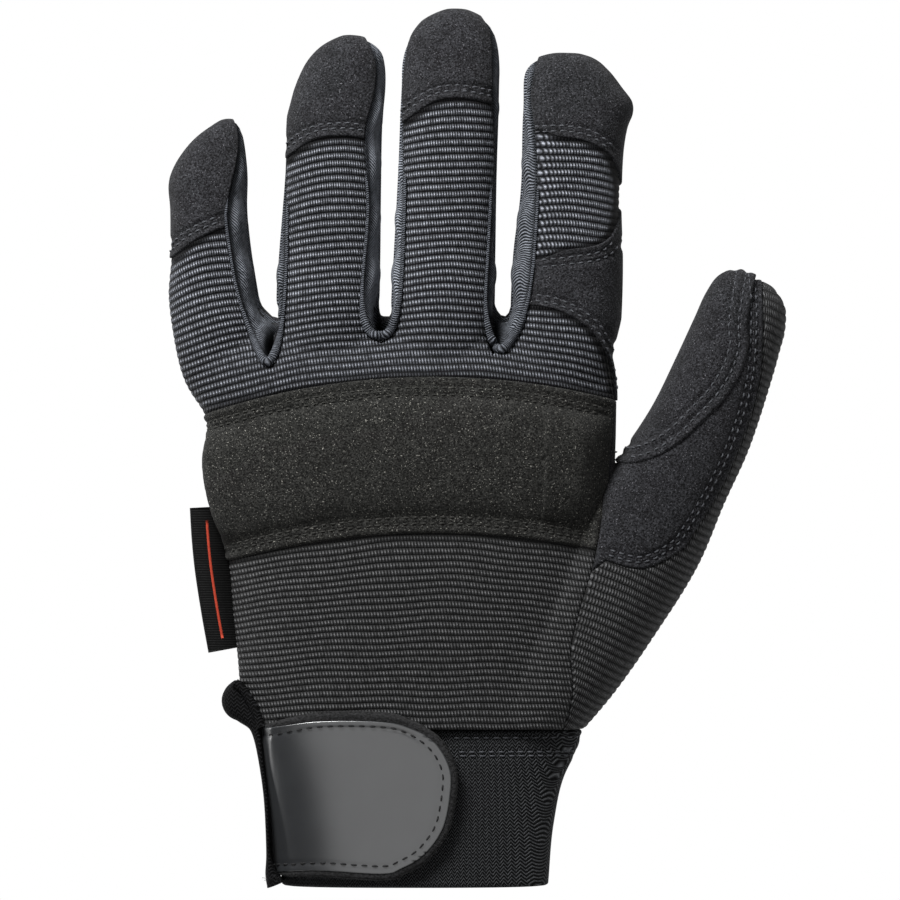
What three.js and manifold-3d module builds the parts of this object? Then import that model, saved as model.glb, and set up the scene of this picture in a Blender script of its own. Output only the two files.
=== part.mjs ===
import * as THREE from 'three';
import { mergeVertices } from 'three/addons/utils/BufferGeometryUtils.js';
import Module from 'manifold-3d';

const wasm = await Module();
wasm.setup();

// A left-hand work glove lying palm down, in millimetres.
// X runs towards the thumb, Y towards the fingertips, Z up through the back of the hand.
// While it is modelled, Y is 0 at the wrist seam and X is 0 at the middle of the palm.

// The cloth and how its pieces meet
const CLOTH_THICKNESS = 1.6;
const SEAM_GAP = 0.3;
const SIDE_SEAM_HEIGHT = 8;

// The four fingers
const LITTLE_WIDTH = 26.2;
const LITTLE_LENGTH = 70;
const LITTLE_HEIGHT = 19;
const RING_WIDTH = 29.4;
const RING_LENGTH = 94;
const RING_HEIGHT = 21;
const MIDDLE_WIDTH = 28.5;
const MIDDLE_LENGTH = 101.5;
const MIDDLE_HEIGHT = 22;
const INDEX_WIDTH = 31;
const INDEX_LENGTH = 90;
const INDEX_HEIGHT = 22;
const LITTLE_RING_GAP = 2.0;
const RING_MIDDLE_GAP = 4.2;
const MIDDLE_INDEX_GAP = 5.0;
const LITTLE_OVERHANG = 8.3;

// The palm, from the wrist seam to the line where the fingers start
const PALM_LENGTH = 103;
const PALM_HEIGHT = 32;

// The thumb, from the wrist seam to its tip
const THUMB_REACH = 141;
const THUMB_WIDTH = 38;
const THUMB_HEIGHT = 27;
const THUMB_ROOT_INSET = 19;
const THUMB_LEAN = 24;

// The padded band across the knuckles
const PAD_LENGTH = 44;
const PAD_RISE = 4.5;
const PAD_BORDER = 4.5;
const KNUCKLE_TO_PAD = 3.4;
const BAND_ARCH = 8.3;
const BAND_TILT = 1.9;

// The raised patch on the thumb
const PATCH_RISE = 0.9;

// The cuff, its tab and the tab's glossy patch
const CUFF_LENGTH = 45;
const CUFF_TOP_WIDTH = 89;
const CUFF_MOUTH_WIDTH = 76;
const CUFF_HEIGHT = 26;
const CUFF_THICKNESS = 2;
const STRAP_REACH = 53.3;
const STRAP_LAP = 3.1;
const STRAP_TO_MOUTH = 4.2;
const STRAP_THICKNESS = 2.2;
const STRAP_EDGE = 1.6;
const GLOSS_THICKNESS = 1.2;

// The knit fold at the wrist's outer side and the ribbon label above it
const FOLD_THICKNESS = 1.6;
const FOLD_HEIGHT = 11;
const FOLD_BULGE = 4.5;
const LABEL_LENGTH = 42;
const LABEL_WIDTH = 6.4;
const LABEL_THICKNESS = 2.6;
const LABEL_SLOT = 0.5;
const LABEL_TO_WRIST = 22;

// How finely the forms are faceted
const FINGER_SIDES = 14;
const PALM_SIDES = 24;

// How much of a section's rounded underside is pressed flat, and how square the sections are
const PRESSED = 0.75;
const FINGER_SQUARENESS = 2.3;
const PALM_SQUARENESS = 2.6;

// Outlines are cut well past the cloth on their open sides, and prisms well past it in height
const PAST = 12;
const SKY = 90;

// How far a finger's outlines reach from its axis, outwards and inwards, as shares of its width
const PAST_OUTER = 0.62;
const PAST_INNER = 0.56;

// Where the rounding of a fingertip starts, as a share of the finger's length
const TIP_START = 0.6;

// The least sine of a corner that a widened outline follows to its point
const SHARPEST = 0.5;

// Points nearer to each other than this are one point
const SAME_POINT = 1e-4;

// How far each crotch lies past the line where the fingers start, as a share of the palm's length
const CROTCH_RISE = [0.0, 0.073, 0.035];

// The low walls on the thumb's side: where the palm's starts, as a share of its width, and how high
// the index wrap's reaches, as a share of the palm's height
const THUMB_WALL_START = 0.3;
const WRAP_WALL_TOP = 0.45;

// The hem that the tab laps over, between these shares of the palm's length
const HEM_TOP = 0.1;
const HEM_FOOT = 0.005;

// Heights off the table: the fold's foot, and the label as a share of the palm's height
const FOLD_BASE = 2;
const LABEL_SEAT = 0.38;

const table = (columns, rows) =>
  rows.map((row) => Object.fromEntries(columns.map((column, place) => [column, row[place]])));

// Sections of each form, from its root to its tip. Along is a share of the form's length, side and
// wide are shares of its width, high and lift (how far the underside is off the table) of its height.
const SECTION = ['along', 'side', 'wide', 'high', 'lift'];

const LITTLE_SECTIONS = table(SECTION, [
  [-0.3, 0.2, 0.75, 1.05, 0],
  [0, 0.04, 0.95, 1.2, 0],
  [0.15, 0, 1, 1.12, 0],
  [0.3, 0, 0.98, 1.03, 0],
  [0.47, 0, 0.87, 1, 0],
  [0.66, 0, 0.81, 0.98, 0],
  [0.77, 0.01, 0.82, 0.95, 0],
  [0.86, 0.06, 0.69, 0.84, 0.03],
  [0.93, 0.13, 0.5, 0.66, 0.12],
  [1, 0.23, 0.2, 0.36, 0.26],
]);

const RING_SECTIONS = table(SECTION, [
  [-0.25, 0, 0.8, 1.1, 0],
  [0, 0, 0.98, 1.25, 0],
  [0.15, 0, 1.02, 1.15, 0],
  [0.32, 0, 1, 1.04, 0],
  [0.55, 0, 0.95, 1, 0],
  [0.78, 0, 0.92, 0.95, 0],
  [0.87, 0.01, 0.88, 0.86, 0],
  [0.93, 0.05, 0.76, 0.74, 0.05],
  [0.975, 0.1, 0.54, 0.54, 0.14],
  [1, 0.12, 0.26, 0.34, 0.24],
]);

const MIDDLE_SECTIONS = table(SECTION, [
  [-0.25, 0, 0.8, 1.1, 0],
  [0, 0, 0.98, 1.25, 0],
  [0.15, 0, 1.05, 1.15, 0],
  [0.32, 0, 1.03, 1.04, 0],
  [0.55, 0, 1, 1, 0],
  [0.78, 0, 0.99, 0.95, 0],
  [0.87, 0, 0.97, 0.86, 0],
  [0.93, 0, 0.87, 0.74, 0.05],
  [0.975, 0.02, 0.6, 0.54, 0.14],
  [1, 0.04, 0.28, 0.34, 0.24],
]);

const INDEX_SECTIONS = table(SECTION, [
  [-0.25, -0.08, 0.8, 1.1, 0],
  [0, -0.01, 1, 1.2, 0],
  [0.15, 0, 1.02, 1.12, 0],
  [0.35, 0, 1.02, 1.04, 0],
  [0.55, 0, 0.94, 1, 0],
  [0.78, 0, 0.97, 0.95, 0],
  [0.88, 0, 1, 0.88, 0],
  [0.945, 0, 0.87, 0.74, 0.05],
  [0.98, 0, 0.66, 0.54, 0.14],
  [1, -0.06, 0.4, 0.34, 0.24],
]);

const THUMB_SECTIONS = table(SECTION, [
  [-0.02, -0.24, 0.84, 1.0, 0],
  [0.11, -0.15, 0.95, 1.06, 0],
  [0.26, -0.07, 1.01, 1.1, 0],
  [0.43, 0.02, 1, 1.1, 0],
  [0.56, 0.07, 0.88, 1.04, 0],
  [0.67, 0.11, 0.81, 0.98, 0],
  [0.79, 0.11, 0.73, 0.9, 0],
  [0.88, 0.08, 0.64, 0.82, 0],
  [0.94, 0.04, 0.55, 0.7, 0.05],
  [0.98, 0.01, 0.42, 0.52, 0.14],
  [1, -0.01, 0.24, 0.32, 0.24],
]);

const PALM_SECTIONS = table(SECTION, [
  [-0.05, 0, 0.83, 0.88, 0],
  [0.03, 0.003, 0.83, 0.89, 0],
  [0.15, 0.016, 0.86, 0.91, 0],
  [0.3, 0.024, 0.9, 0.95, 0],
  [0.48, 0.022, 0.925, 1, 0],
  [0.66, 0.006, 0.97, 1.02, 0],
  [0.83, -0.004, 1, 1.02, 0],
  [0.95, -0.018, 1.03, 0.97, 0],
  [1.02, -0.028, 1.045, 0.86, 0],
  [1.08, -0.033, 1.03, 0.64, 0],
  [1.15, -0.035, 0.98, 0.3, 0],
]);

// Seams that run along a finger's back, from its tip to the crotch, as shares of length and width
const SEAM = ['along', 'side'];

const LITTLE_INNER_SEAM = table(SEAM, [
  [1.02, 0.22],
  [0.94, 0.27],
  [0.83, 0.25],
  [0.65, 0.14],
  [0.56, 0.13],
  [0.31, 0.21],
  [0.06, 0.39],
]);

const RING_OUTER_SEAM = table(SEAM, [
  [1.02, 0.02],
  [0.97, -0.2],
  [0.88, -0.4],
  [0.66, -0.43],
  [0.3, -0.395],
  [0.06, -0.42],
]);

const RING_INNER_SEAM = table(SEAM, [
  [1.02, 0.16],
  [0.975, 0.27],
  [0.92, 0.34],
  [0.84, 0.34],
  [0.69, 0.27],
  [0.48, 0.34],
  [0.15, 0.33],
]);

const MIDDLE_OUTER_SEAM = table(SEAM, [
  [1.02, -0.12],
  [0.97, -0.26],
  [0.9, -0.4],
  [0.75, -0.44],
  [0.47, -0.4],
  [0.15, -0.42],
]);

const MIDDLE_INNER_SEAM = table(SEAM, [
  [1.02, 0.14],
  [0.975, 0.27],
  [0.92, 0.36],
  [0.75, 0.39],
  [0.6, 0.43],
  [0.37, 0.42],
  [0.12, 0.42],
]);

const INDEX_OUTER_SEAM = table(SEAM, [
  [1.02, -0.24],
  [0.97, -0.34],
  [0.86, -0.39],
  [0.73, -0.34],
  [0.6, -0.3],
  [0.36, -0.3],
  [0.19, -0.34],
  [0.09, -0.42],
]);

// The fingers. Their cap edges run across the back, from the little finger's side.
const fingers = [
  {
    name: 'little',
    width: LITTLE_WIDTH,
    length: LITTLE_LENGTH,
    height: LITTLE_HEIGHT,
    lean: -2.5,
    gapAfter: LITTLE_RING_GAP,
    sections: LITTLE_SECTIONS,
    innerSeam: LITTLE_INNER_SEAM,
    capEdge: table(SEAM, [[0.45, -0.44], [0.52, -0.16], [0.565, 0.16]]),
  },
  {
    name: 'ring',
    width: RING_WIDTH,
    length: RING_LENGTH,
    height: RING_HEIGHT,
    lean: 2.6,
    gapAfter: RING_MIDDLE_GAP,
    sections: RING_SECTIONS,
    outerSeam: RING_OUTER_SEAM,
    innerSeam: RING_INNER_SEAM,
    capEdge: table(SEAM, [[0.62, -0.46], [0.68, -0.2], [0.697, 0.07], [0.693, 0.3]]),
  },
  {
    name: 'middle',
    width: MIDDLE_WIDTH,
    length: MIDDLE_LENGTH,
    height: MIDDLE_HEIGHT,
    lean: 2,
    gapAfter: MIDDLE_INDEX_GAP,
    sections: MIDDLE_SECTIONS,
    outerSeam: MIDDLE_OUTER_SEAM,
    innerSeam: MIDDLE_INNER_SEAM,
    capEdge: table(SEAM, [[0.675, -0.46], [0.735, -0.16], [0.75, 0.08], [0.74, 0.42]]),
  },
  {
    name: 'index',
    width: INDEX_WIDTH,
    length: INDEX_LENGTH,
    height: INDEX_HEIGHT,
    lean: 2.9,
    gapAfter: 0,
    sections: INDEX_SECTIONS,
    outerSeam: INDEX_OUTER_SEAM,
  },
];

// The index finger's rib window: a straight side along the seam and a round side to the right
const WINDOW_EDGE = table(SEAM, [
  [0.355, -0.4],
  [0.37, 0],
  [0.39, 0.25],
  [0.43, 0.37],
  [0.51, 0.42],
  [0.59, 0.41],
  [0.67, 0.32],
  [0.71, 0.12],
  [0.72, -0.12],
  [0.715, -0.4],
]);

// The lower edge of the suede over the index finger, dropping towards its outer side
const WRAP_EDGE = table(SEAM, [
  [0.186, -0.6],
  [0.186, -0.3],
  [0.176, -0.1],
  [0.15, 0.08],
  [0.11, 0.24],
  [0.04, 0.37],
  [-0.03, 0.44],
  [-0.1, 0.46],
]);

// Under that edge the wrap also takes the low part of the finger's outer side wall
const WRAP_WALL = table(SEAM, [
  [-0.1, 0.3],
  [-0.1, 0.62],
  [0.16, 0.62],
  [0.16, 0.3],
]);

// The seam from the wrist up the thumb side of the back, as shares of palm length and half width
const BACK_SEAM = table(SEAM, [
  [0, 0.73],
  [0.1, 0.78],
  [0.22, 0.775],
  [0.33, 0.817],
  [0.46, 0.885],
  [0.6, 0.93],
  [0.75, 0.945],
]);

// The seam between the thumb's suede and the rib fabric, from the web to the thumb's tip
const THUMB_SEAM = table(SEAM, [
  [0.355, -0.14],
  [0.37, 0.13],
  [0.43, 0.32],
  [0.48, 0.37],
  [0.62, 0.42],
  [0.78, 0.38],
  [0.91, 0.23],
  [1.03, 0.02],
]);

// The inner edge of the raised patch, from the thumb's tip down to the crotch
const PATCH_EDGE = table(SEAM, [
  [1.03, 0.0],
  [0.91, 0.11],
  [0.87, 0.18],
  [0.81, 0.21],
  [0.745, 0.18],
  [0.69, 0.11],
  [0.635, 0.03],
  [0.585, -0.09],
  [0.552, -0.23],
  [0.54, -0.36],
]);

// Where the thumb is set into the palm, on the underside
const SET_IN_SEAM = table(SEAM, [
  [0.44, 1.2],
  [0.44, 0.13],
  [0.5, -0.21],
  [0.54, -0.36],
]);

// A line through the air between the thumb and the index finger, from the crotch past the tip
const THUMB_CLEARANCE = table(SEAM, [
  [0.56, -0.43],
  [0.67, -0.4],
  [1.1, -0.4],
]);

// The tab's outline, from its outer corner nearest the fingers: in shares of its reach across the
// cuff and of its width down it
const TAB_OUTLINE = table(['across', 'down'], [
  [-0.35, 0.06],
  [0.0, 0.06],
  [0.3, 0.0],
  [0.64, 0.0],
  [0.79, 0.045],
  [0.92, 0.155],
  [0.99, 0.3],
  [1.0, 0.45],
  [0.96, 0.7],
  [0.86, 0.875],
  [0.74, 0.965],
  [0.64, 1.0],
  [0.3, 0.98],
  [0.07, 1.0],
  [-0.35, 1.0],
]);

// How the cuff narrows from the wrist seam to its mouth, and how far its middle is from the palm's
const CUFF_TAPER = table(['down', 'taper', 'side'], [
  [-0.1, 0, 0.055],
  [0, 0, 0.055],
  [0.12, 0.16, 0.05],
  [0.3, 0.5, 0.032],
  [0.6, 0.8, 0.02],
  [1, 1, 0.016],
  [1.1, 1, 0.016],
]);

// The knit fold's line: how far down the cuff, and how far out in shares of its bulge
const FOLD_LINE = table(['down', 'out'], [
  [-0.32, -0.1],
  [-0.22, 0.75],
  [-0.15, 0.85],
  [-0.04, 0.35],
  [0.04, 0.95],
  [0.14, 0.2],
  [0.3, 0],
  [0.7, 0],
  [1.03, -0.05],
]);

// Finger roots stand side by side across the palm
function placeFingers() {
  const spread = fingers.reduce((sum, finger) => sum + finger.width + finger.gapAfter, 0);
  const palmWidth = spread - LITTLE_OVERHANG;
  let edge = -palmWidth / 2 - LITTLE_OVERHANG;
  for (const finger of fingers) {
    finger.x = edge + finger.width / 2;
    finger.y = PALM_LENGTH;
    finger.crotch = edge + finger.width + finger.gapAfter / 2;
    edge += finger.width + finger.gapAfter;
  }
  return palmWidth;
}

const palmWidth = placeFingers();
const [little, ringFinger, middle, index] = fingers;

const palmForm = {
  x: 0,
  y: 0,
  lean: 0,
  length: PALM_LENGTH,
  width: palmWidth,
  height: PALM_HEIGHT,
  sections: PALM_SECTIONS,
};

const thumb = {
  x: palmWidth / 2 - THUMB_ROOT_INSET,
  y: 0,
  lean: THUMB_LEAN,
  length: THUMB_REACH,
  width: THUMB_WIDTH,
  height: THUMB_HEIGHT,
  sections: THUMB_SECTIONS,
};

// A plan point at a distance along a form's axis and to the side of it
function planPoint(form, along, side) {
  const lean = THREE.MathUtils.degToRad(form.lean);
  return [
    form.x + along * Math.sin(lean) + side * Math.cos(lean),
    form.y + along * Math.cos(lean) - side * Math.sin(lean),
  ];
}

const seamLine = (form, rows) =>
  rows.map((row) => planPoint(form, row.along * form.length, row.side * form.width));

// A round number raised to a power with its sign kept
const rounded = (value, power) => Math.sign(value) * Math.abs(value) ** power;

// The points of one section: a rounded box whose underside is pressed flat on the table
function sectionRing(place, size, sides, squareness) {
  const ring = [];
  for (let step = 0; step < sides; step += 1) {
    const angle = (2 * Math.PI * step) / sides;
    const across = rounded(Math.cos(angle), 2 / squareness);
    const up = Math.max(rounded(Math.sin(angle), 2 / squareness), -PRESSED);
    const [x, y] = place((across * size.wide) / 2);
    ring.push(new THREE.Vector3(x, y, size.base + ((up + PRESSED) / (1 + PRESSED)) * size.high));
  }
  return ring;
}

// The rings of a form, grown outwards all round (or inwards, where grow is negative)
function formRings(form, grow, sides, squareness) {
  return form.sections.map((row) => {
    const tip = THREE.MathUtils.clamp((row.along - TIP_START) / (1 - TIP_START), 0, 1);
    const along = row.along * form.length + (form.open ? 0 : grow * tip);
    const size = {
      wide: row.wide * form.width + 2 * grow,
      high: row.high * form.height + 2 * grow,
      base: row.lift * form.height - grow,
    };
    const place = (side) => planPoint(form, along, row.side * form.width + side);
    return sectionRing(place, size, sides, squareness);
  });
}

// A closed skin over a row of rings, each end closed by a fan
function loft(rings) {
  const sides = rings[0].length;
  const points = rings.flat();
  const faces = [];
  const quad = (a, b, c, d) => faces.push([a, b, c], [a, c, d]);
  for (let row = 0; row + 1 < rings.length; row += 1) {
    for (let step = 0; step < sides; step += 1) {
      const next = (step + 1) % sides;
      const low = row * sides;
      quad(low + step, low + next, low + sides + next, low + sides + step);
    }
  }
  for (const [first, turned] of [[0, true], [(rings.length - 1) * sides, false]]) {
    const middlePoint = new THREE.Vector3();
    for (let step = 0; step < sides; step += 1) {
      middlePoint.addScaledVector(points[first + step], 1 / sides);
    }
    points.push(middlePoint);
    for (let step = 0; step < sides; step += 1) {
      const here = first + step;
      const next = first + ((step + 1) % sides);
      faces.push(turned ? [points.length - 1, next, here] : [points.length - 1, here, next]);
    }
  }
  return solidFromFaces(points, faces);
}

// A solid from points and triangles, turned to face outwards
function solidFromFaces(points, faces) {
  let volume = 0;
  for (const [a, b, c] of faces) {
    volume += points[a].dot(new THREE.Vector3().crossVectors(points[b], points[c]));
  }
  const outward = volume < 0 ? faces.map(([a, b, c]) => [a, c, b]) : faces;
  return new wasm.Manifold(new wasm.Mesh({
    numProp: 3,
    vertProperties: new Float32Array(points.flatMap((point) => point.toArray())),
    triVerts: new Uint32Array(outward.flat()),
  }));
}

// An upright solid over a plan outline
function prism(outline, low = -SKY, high = SKY) {
  const shape = new THREE.Shape(outline.map(([x, y]) => new THREE.Vector2(x, y)));
  const raw = new THREE.ExtrudeGeometry(shape, { depth: high - low, bevelEnabled: false });
  return solidFromGeometry(raw.translate(0, 0, low));
}

function solidFromGeometry(raw) {
  raw.deleteAttribute('normal');
  raw.deleteAttribute('uv');
  const merged = mergeVertices(raw, SAME_POINT);
  const spots = merged.getAttribute('position');
  const points = [];
  for (let spot = 0; spot < spots.count; spot += 1) {
    points.push(new THREE.Vector3().fromBufferAttribute(spots, spot));
  }
  const order = Array.from(merged.getIndex().array);
  const faces = [];
  for (let corner = 0; corner < order.length; corner += 3) faces.push(order.slice(corner, corner + 3));
  return solidFromFaces(points, faces);
}

// An outline widened by the same distance on every side
function widened(outline, distance) {
  const area = THREE.ShapeUtils.area(outline.map(([x, y]) => new THREE.Vector2(x, y)));
  const turn = Math.sign(area);
  return outline.map(([x, y], place) => {
    const before = outline[(place + outline.length - 1) % outline.length];
    const after = outline[(place + 1) % outline.length];
    const into = new THREE.Vector2(x - before[0], y - before[1]).normalize();
    const out = new THREE.Vector2(after[0] - x, after[1] - y).normalize();
    const normal = new THREE.Vector2(into.y + out.y, -into.x - out.x).multiplyScalar(turn).normalize();
    const stretch = 1 / Math.max(SHARPEST, Math.abs(normal.x * into.y - normal.y * into.x));
    return [x + normal.x * distance * stretch, y + normal.y * distance * stretch];
  });
}

const joined = (solids) => solids.reduce((whole, solid) => whole.add(solid));

// The whole hand grown by a distance: palm, thumb and fingers in one
function handForm(grow) {
  return joined([
    loft(formRings(palmForm, grow, PALM_SIDES, PALM_SQUARENESS)),
    loft(formRings(thumb, grow, FINGER_SIDES, FINGER_SQUARENESS)),
    ...fingers.map((finger) => loft(formRings(finger, grow, FINGER_SIDES, FINGER_SQUARENESS))),
  ]);
}

const far = PALM_LENGTH + MIDDLE_LENGTH + PAST;
const wide = palmWidth + THUMB_WIDTH + PAST;
const fingerSide = [[-wide, 0], [wide, 0], [wide, far], [-wide, far]];

// The curved line across the back, so far from the wrist seam at the middle of the hand
function archedLine(middleDistance, sides) {
  return sides.map((side) => [
    (side * palmWidth) / 2,
    middleDistance - BAND_ARCH * side ** 2 + BAND_TILT * side,
  ]);
}

const padTop = PALM_LENGTH - KNUCKLE_TO_PAD;
const padBottom = padTop - PAD_LENGTH;

const BAND_STEPS = [-1.3, -0.95, -0.7, -0.4, 0, 0.4, 0.7, 1, 1.2];
const archedEdge = (distance) => archedLine(distance, BAND_STEPS);

// A form's section at any distance along it, between the two rows of its table on either side
function sectionAt(form, along) {
  const upper = form.sections.findIndex((row) => row.along > along);
  const [a, b] = [form.sections[upper - 1], form.sections[upper]];
  const part = (along - a.along) / (b.along - a.along);
  const mix = (column) => a[column] + (b[column] - a[column]) * part;
  return { along, side: mix('side'), wide: mix('wide'), high: mix('high'), lift: mix('lift') };
}

// The puffed upper skin of the knuckle pad, which follows the band's arch
const PUFF = table(['share', 'rise'], [
  [0, 0],
  [0.08, 0.45],
  [0.2, 0.85],
  [0.5, 1],
  [0.8, 0.85],
  [0.92, 0.45],
  [1, 0],
]);

function padForm() {
  const rings = PUFF.map((row) => {
    const distance = padBottom + PAD_BORDER + row.share * (PAD_LENGTH - 2 * PAD_BORDER);
    const section = sectionAt(palmForm, distance / PALM_LENGTH);
    const size = {
      wide: section.wide * palmWidth - PAD_BORDER,
      high: section.high * PALM_HEIGHT + row.rise * PAD_RISE,
      base: 0,
    };
    const place = (across) => {
      const x = section.side * palmWidth + across;
      const share = (2 * x) / palmWidth;
      return [x, distance - BAND_ARCH * share ** 2 + BAND_TILT * share];
    };
    return sectionRing(place, size, PALM_SIDES, PALM_SQUARENESS);
  });
  return loft(rings);
}

// Colours, roughness and metalness of the materials
const finish = (color, roughness, metalness = 0) =>
  new THREE.MeshStandardMaterial({ color, roughness, metalness });
const suede = () => finish(0x232224, 0.92);
const ribFabric = () => finish(0x303235, 0.85);
const twill = () => finish(0x3a3d42, 0.88);
const elastic = () => finish(0x1b1b1d, 0.9);
const hookLoop = () => finish(0x161617, 0.97);
const gloss = () => finish(0x4a4b4d, 0.35);
const ribbon = () => finish(0x111112, 0.7);

// The glove's solids by name, filled in below
const pieces = [];
const keep = (name, solid, material) => pieces.push({ name, solid, material });

const outside = handForm(0).intersect(prism(fingerSide));
const inside = handForm(-CLOTH_THICKNESS);
const raised = handForm(PATCH_RISE).intersect(prism(fingerSide));
const roomForHand = handForm(SEAM_GAP);
const shell = outside.subtract(inside);

const everywhere = [[-wide, -far], [wide, -far], [wide, far], [-wide, far]];
const above = prism(everywhere, SIDE_SEAM_HEIGHT + SEAM_GAP);
const below = prism(everywhere, -SKY, SIDE_SEAM_HEIGHT);

// What is left of the back, and of the underside, after each piece is cut from it
let back = shell.intersect(above);
let underside = shell.intersect(below);

// Cuts one piece from the back, above a height, and leaves the seam gap round it
function cutBack(name, outline, material, low = 0) {
  keep(name, back.intersect(prism(outline, low)), material);
  back = back.subtract(prism(widened(outline, SEAM_GAP), low));
}

// The strips between neighbouring fingers, each a U round its crotch
const neighbours = [[little, ringFinger], [ringFinger, middle], [middle, index]];
neighbours.forEach(([left, right], place) => {
  const crotch = [left.crotch, PALM_LENGTH * (1 + CROTCH_RISE[place])];
  cutBack(`fourchette_${left.name}_${right.name}`, [
    planPoint(left, left.length + PAST, left.innerSeam[0].side * left.width),
    ...seamLine(left, left.innerSeam),
    crotch,
    ...seamLine(right, right.outerSeam).reverse(),
    planPoint(right, right.length + PAST, right.outerSeam[0].side * right.width),
  ], twill());
});

// The tip caps of three fingers
for (const finger of [little, ringFinger, middle]) {
  const corner = (row, side) => planPoint(finger, row.along * finger.length, side * finger.width);
  const beyond = (side) => planPoint(finger, finger.length + PAST, side * finger.width);
  cutBack(`${finger.name}_tip_cap`, [
    corner(finger.capEdge[0], -PAST_OUTER),
    ...seamLine(finger, finger.capEdge),
    corner(finger.capEdge.at(-1), PAST_INNER),
    beyond(PAST_INNER),
    beyond(-PAST_OUTER),
  ], suede());
}

// The index finger's rib window, then the suede that goes round it
const wrapFoot = planPoint(index, WRAP_EDGE.at(-1).along * INDEX_LENGTH, INDEX_WIDTH * PAST_OUTER);
cutBack('index_rib_window', seamLine(index, WINDOW_EDGE), ribFabric(), INDEX_HEIGHT / 2);
const wrapOutline = [
  ...seamLine(index, WRAP_EDGE),
  wrapFoot,
  planPoint(index, INDEX_LENGTH + PAST, INDEX_WIDTH * PAST_OUTER),
  planPoint(index, INDEX_LENGTH + PAST, INDEX_WIDTH * WRAP_EDGE[0].side),
];
const wrapWall = seamLine(index, WRAP_WALL);
const wrapWallTop = PALM_HEIGHT * WRAP_WALL_TOP;
keep('index_wrap', back.intersect(prism(wrapOutline).add(prism(wrapWall, 0, wrapWallTop))), suede());
back = back.subtract(prism(widened(wrapOutline, SEAM_GAP)));
back = back.subtract(prism(widened(wrapWall, SEAM_GAP), 0, wrapWallTop + SEAM_GAP));

// The back seam parts the rest of the back. The wall under its thumb side goes with the thumb.
const backSeam = BACK_SEAM.map((row) => [(row.side * palmWidth) / 2, row.along * PALM_LENGTH]);
const thumbSideOutline = [
  [backSeam[0][0], -PAST],
  ...backSeam,
  seamLine(index, WRAP_EDGE).at(-1),
  [wrapFoot[0], wrapFoot[1]],
  [wrapFoot[0], far],
  [wide, far],
  [wide, -PAST],
];
const thumbWall = (top) => prism([
  [palmWidth * THUMB_WALL_START, -PAST],
  [wide, -PAST],
  [wide, top],
  [palmWidth * THUMB_WALL_START, top],
], -SKY, PALM_HEIGHT / 2);
const thumbSide = prism(widened(thumbSideOutline, SEAM_GAP)).add(thumbWall(padTop));
const backOfHand = back.subtract(thumbSide);
back = back.intersect(prism(thumbSideOutline).add(thumbWall(wrapFoot[1])));

// The rib fabric from the wrist to the thumb's tip
cutBack('thumb_side_gusset', [
  planPoint(thumb, -PAST, -THUMB_WIDTH),
  ...seamLine(thumb, THUMB_SEAM),
  planPoint(thumb, THUMB_REACH + PAST, THUMB_WIDTH * THUMB_SEAM.at(-1).side),
  planPoint(thumb, THUMB_REACH + PAST, THUMB_WIDTH),
  planPoint(thumb, -PAST, THUMB_WIDTH),
], ribFabric());

// The raised patch, then the suede beside it
const patchOutline = [...seamLine(thumb, PATCH_EDGE), ...seamLine(thumb, THUMB_CLEARANCE)];
const patchCloth = raised.subtract(inside).intersect(above);
keep('thumb_patch', patchCloth.intersect(prism(patchOutline)), suede());
keep('thumb_back', back.subtract(prism(widened(patchOutline, SEAM_GAP))), suede());

// The knuckle pad with its puffed skin, between the two ribbed panels of the back
const padOutline = [...archedEdge(padBottom), ...archedEdge(padTop).reverse()];
const padCloth = outside.add(padForm()).subtract(inside).intersect(above).subtract(thumbSide);
keep('knuckle_pad', padCloth.intersect(prism(padOutline)), suede());
const lowerOutline = [[-wide, -PAST], [wide, -PAST], ...archedEdge(padBottom - SEAM_GAP).reverse()];
const upperOutline = [[wide, far], [-wide, far], ...archedEdge(padTop + SEAM_GAP)];
keep('back_panel_lower', backOfHand.intersect(prism(lowerOutline)), ribFabric());
keep('back_panel_upper', backOfHand.intersect(prism(upperOutline)), ribFabric());

// The undersides
const thumbRegion = [
  ...seamLine(thumb, SET_IN_SEAM),
  ...seamLine(thumb, THUMB_CLEARANCE),
  planPoint(thumb, THUMB_REACH + PAST, THUMB_WIDTH * SET_IN_SEAM[0].side),
];
keep('thumb_palm', underside.intersect(prism(thumbRegion)), suede());
keep('palm', underside.subtract(prism(widened(thumbRegion, SEAM_GAP))), suede());

// The cuff, a ring of woven elastic open at both ends
const mouthShare = CUFF_MOUTH_WIDTH / CUFF_TOP_WIDTH;
const cuffForm = {
  x: 0,
  y: 0,
  lean: 0,
  length: CUFF_LENGTH,
  width: CUFF_TOP_WIDTH,
  height: CUFF_HEIGHT,
  sections: CUFF_TAPER.map((row) => (
    { along: -row.down, side: row.side, wide: 1 + (mouthShare - 1) * row.taper, high: 1, lift: 0 }
  )),
};
const cuffSkin = (grow) => loft(formRings(cuffForm, grow, PALM_SIDES, PALM_SQUARENESS));
const band = (top, bottom) => prism([[-wide, bottom], [wide, bottom], [wide, top], [-wide, top]]);
const cuff = cuffSkin(0).intersect(band(-SEAM_GAP, -CUFF_LENGTH)).subtract(cuffSkin(-CUFF_THICKNESS));
keep('cuff', cuff, elastic());

// The skin that the tab lies on: over the hem of the hand, then over the cuff
function wristSkin(grow) {
  const hem = { ...palmForm, sections: [sectionAt(palmForm, HEM_TOP), sectionAt(palmForm, HEM_FOOT)] };
  const lower = { ...cuffForm, sections: cuffForm.sections.filter((row) => row.along < 0) };
  return loft([
    ...formRings(hem, grow, PALM_SIDES, PALM_SQUARENESS),
    ...formRings(lower, grow, PALM_SIDES, PALM_SQUARENESS),
  ]);
}

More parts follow.
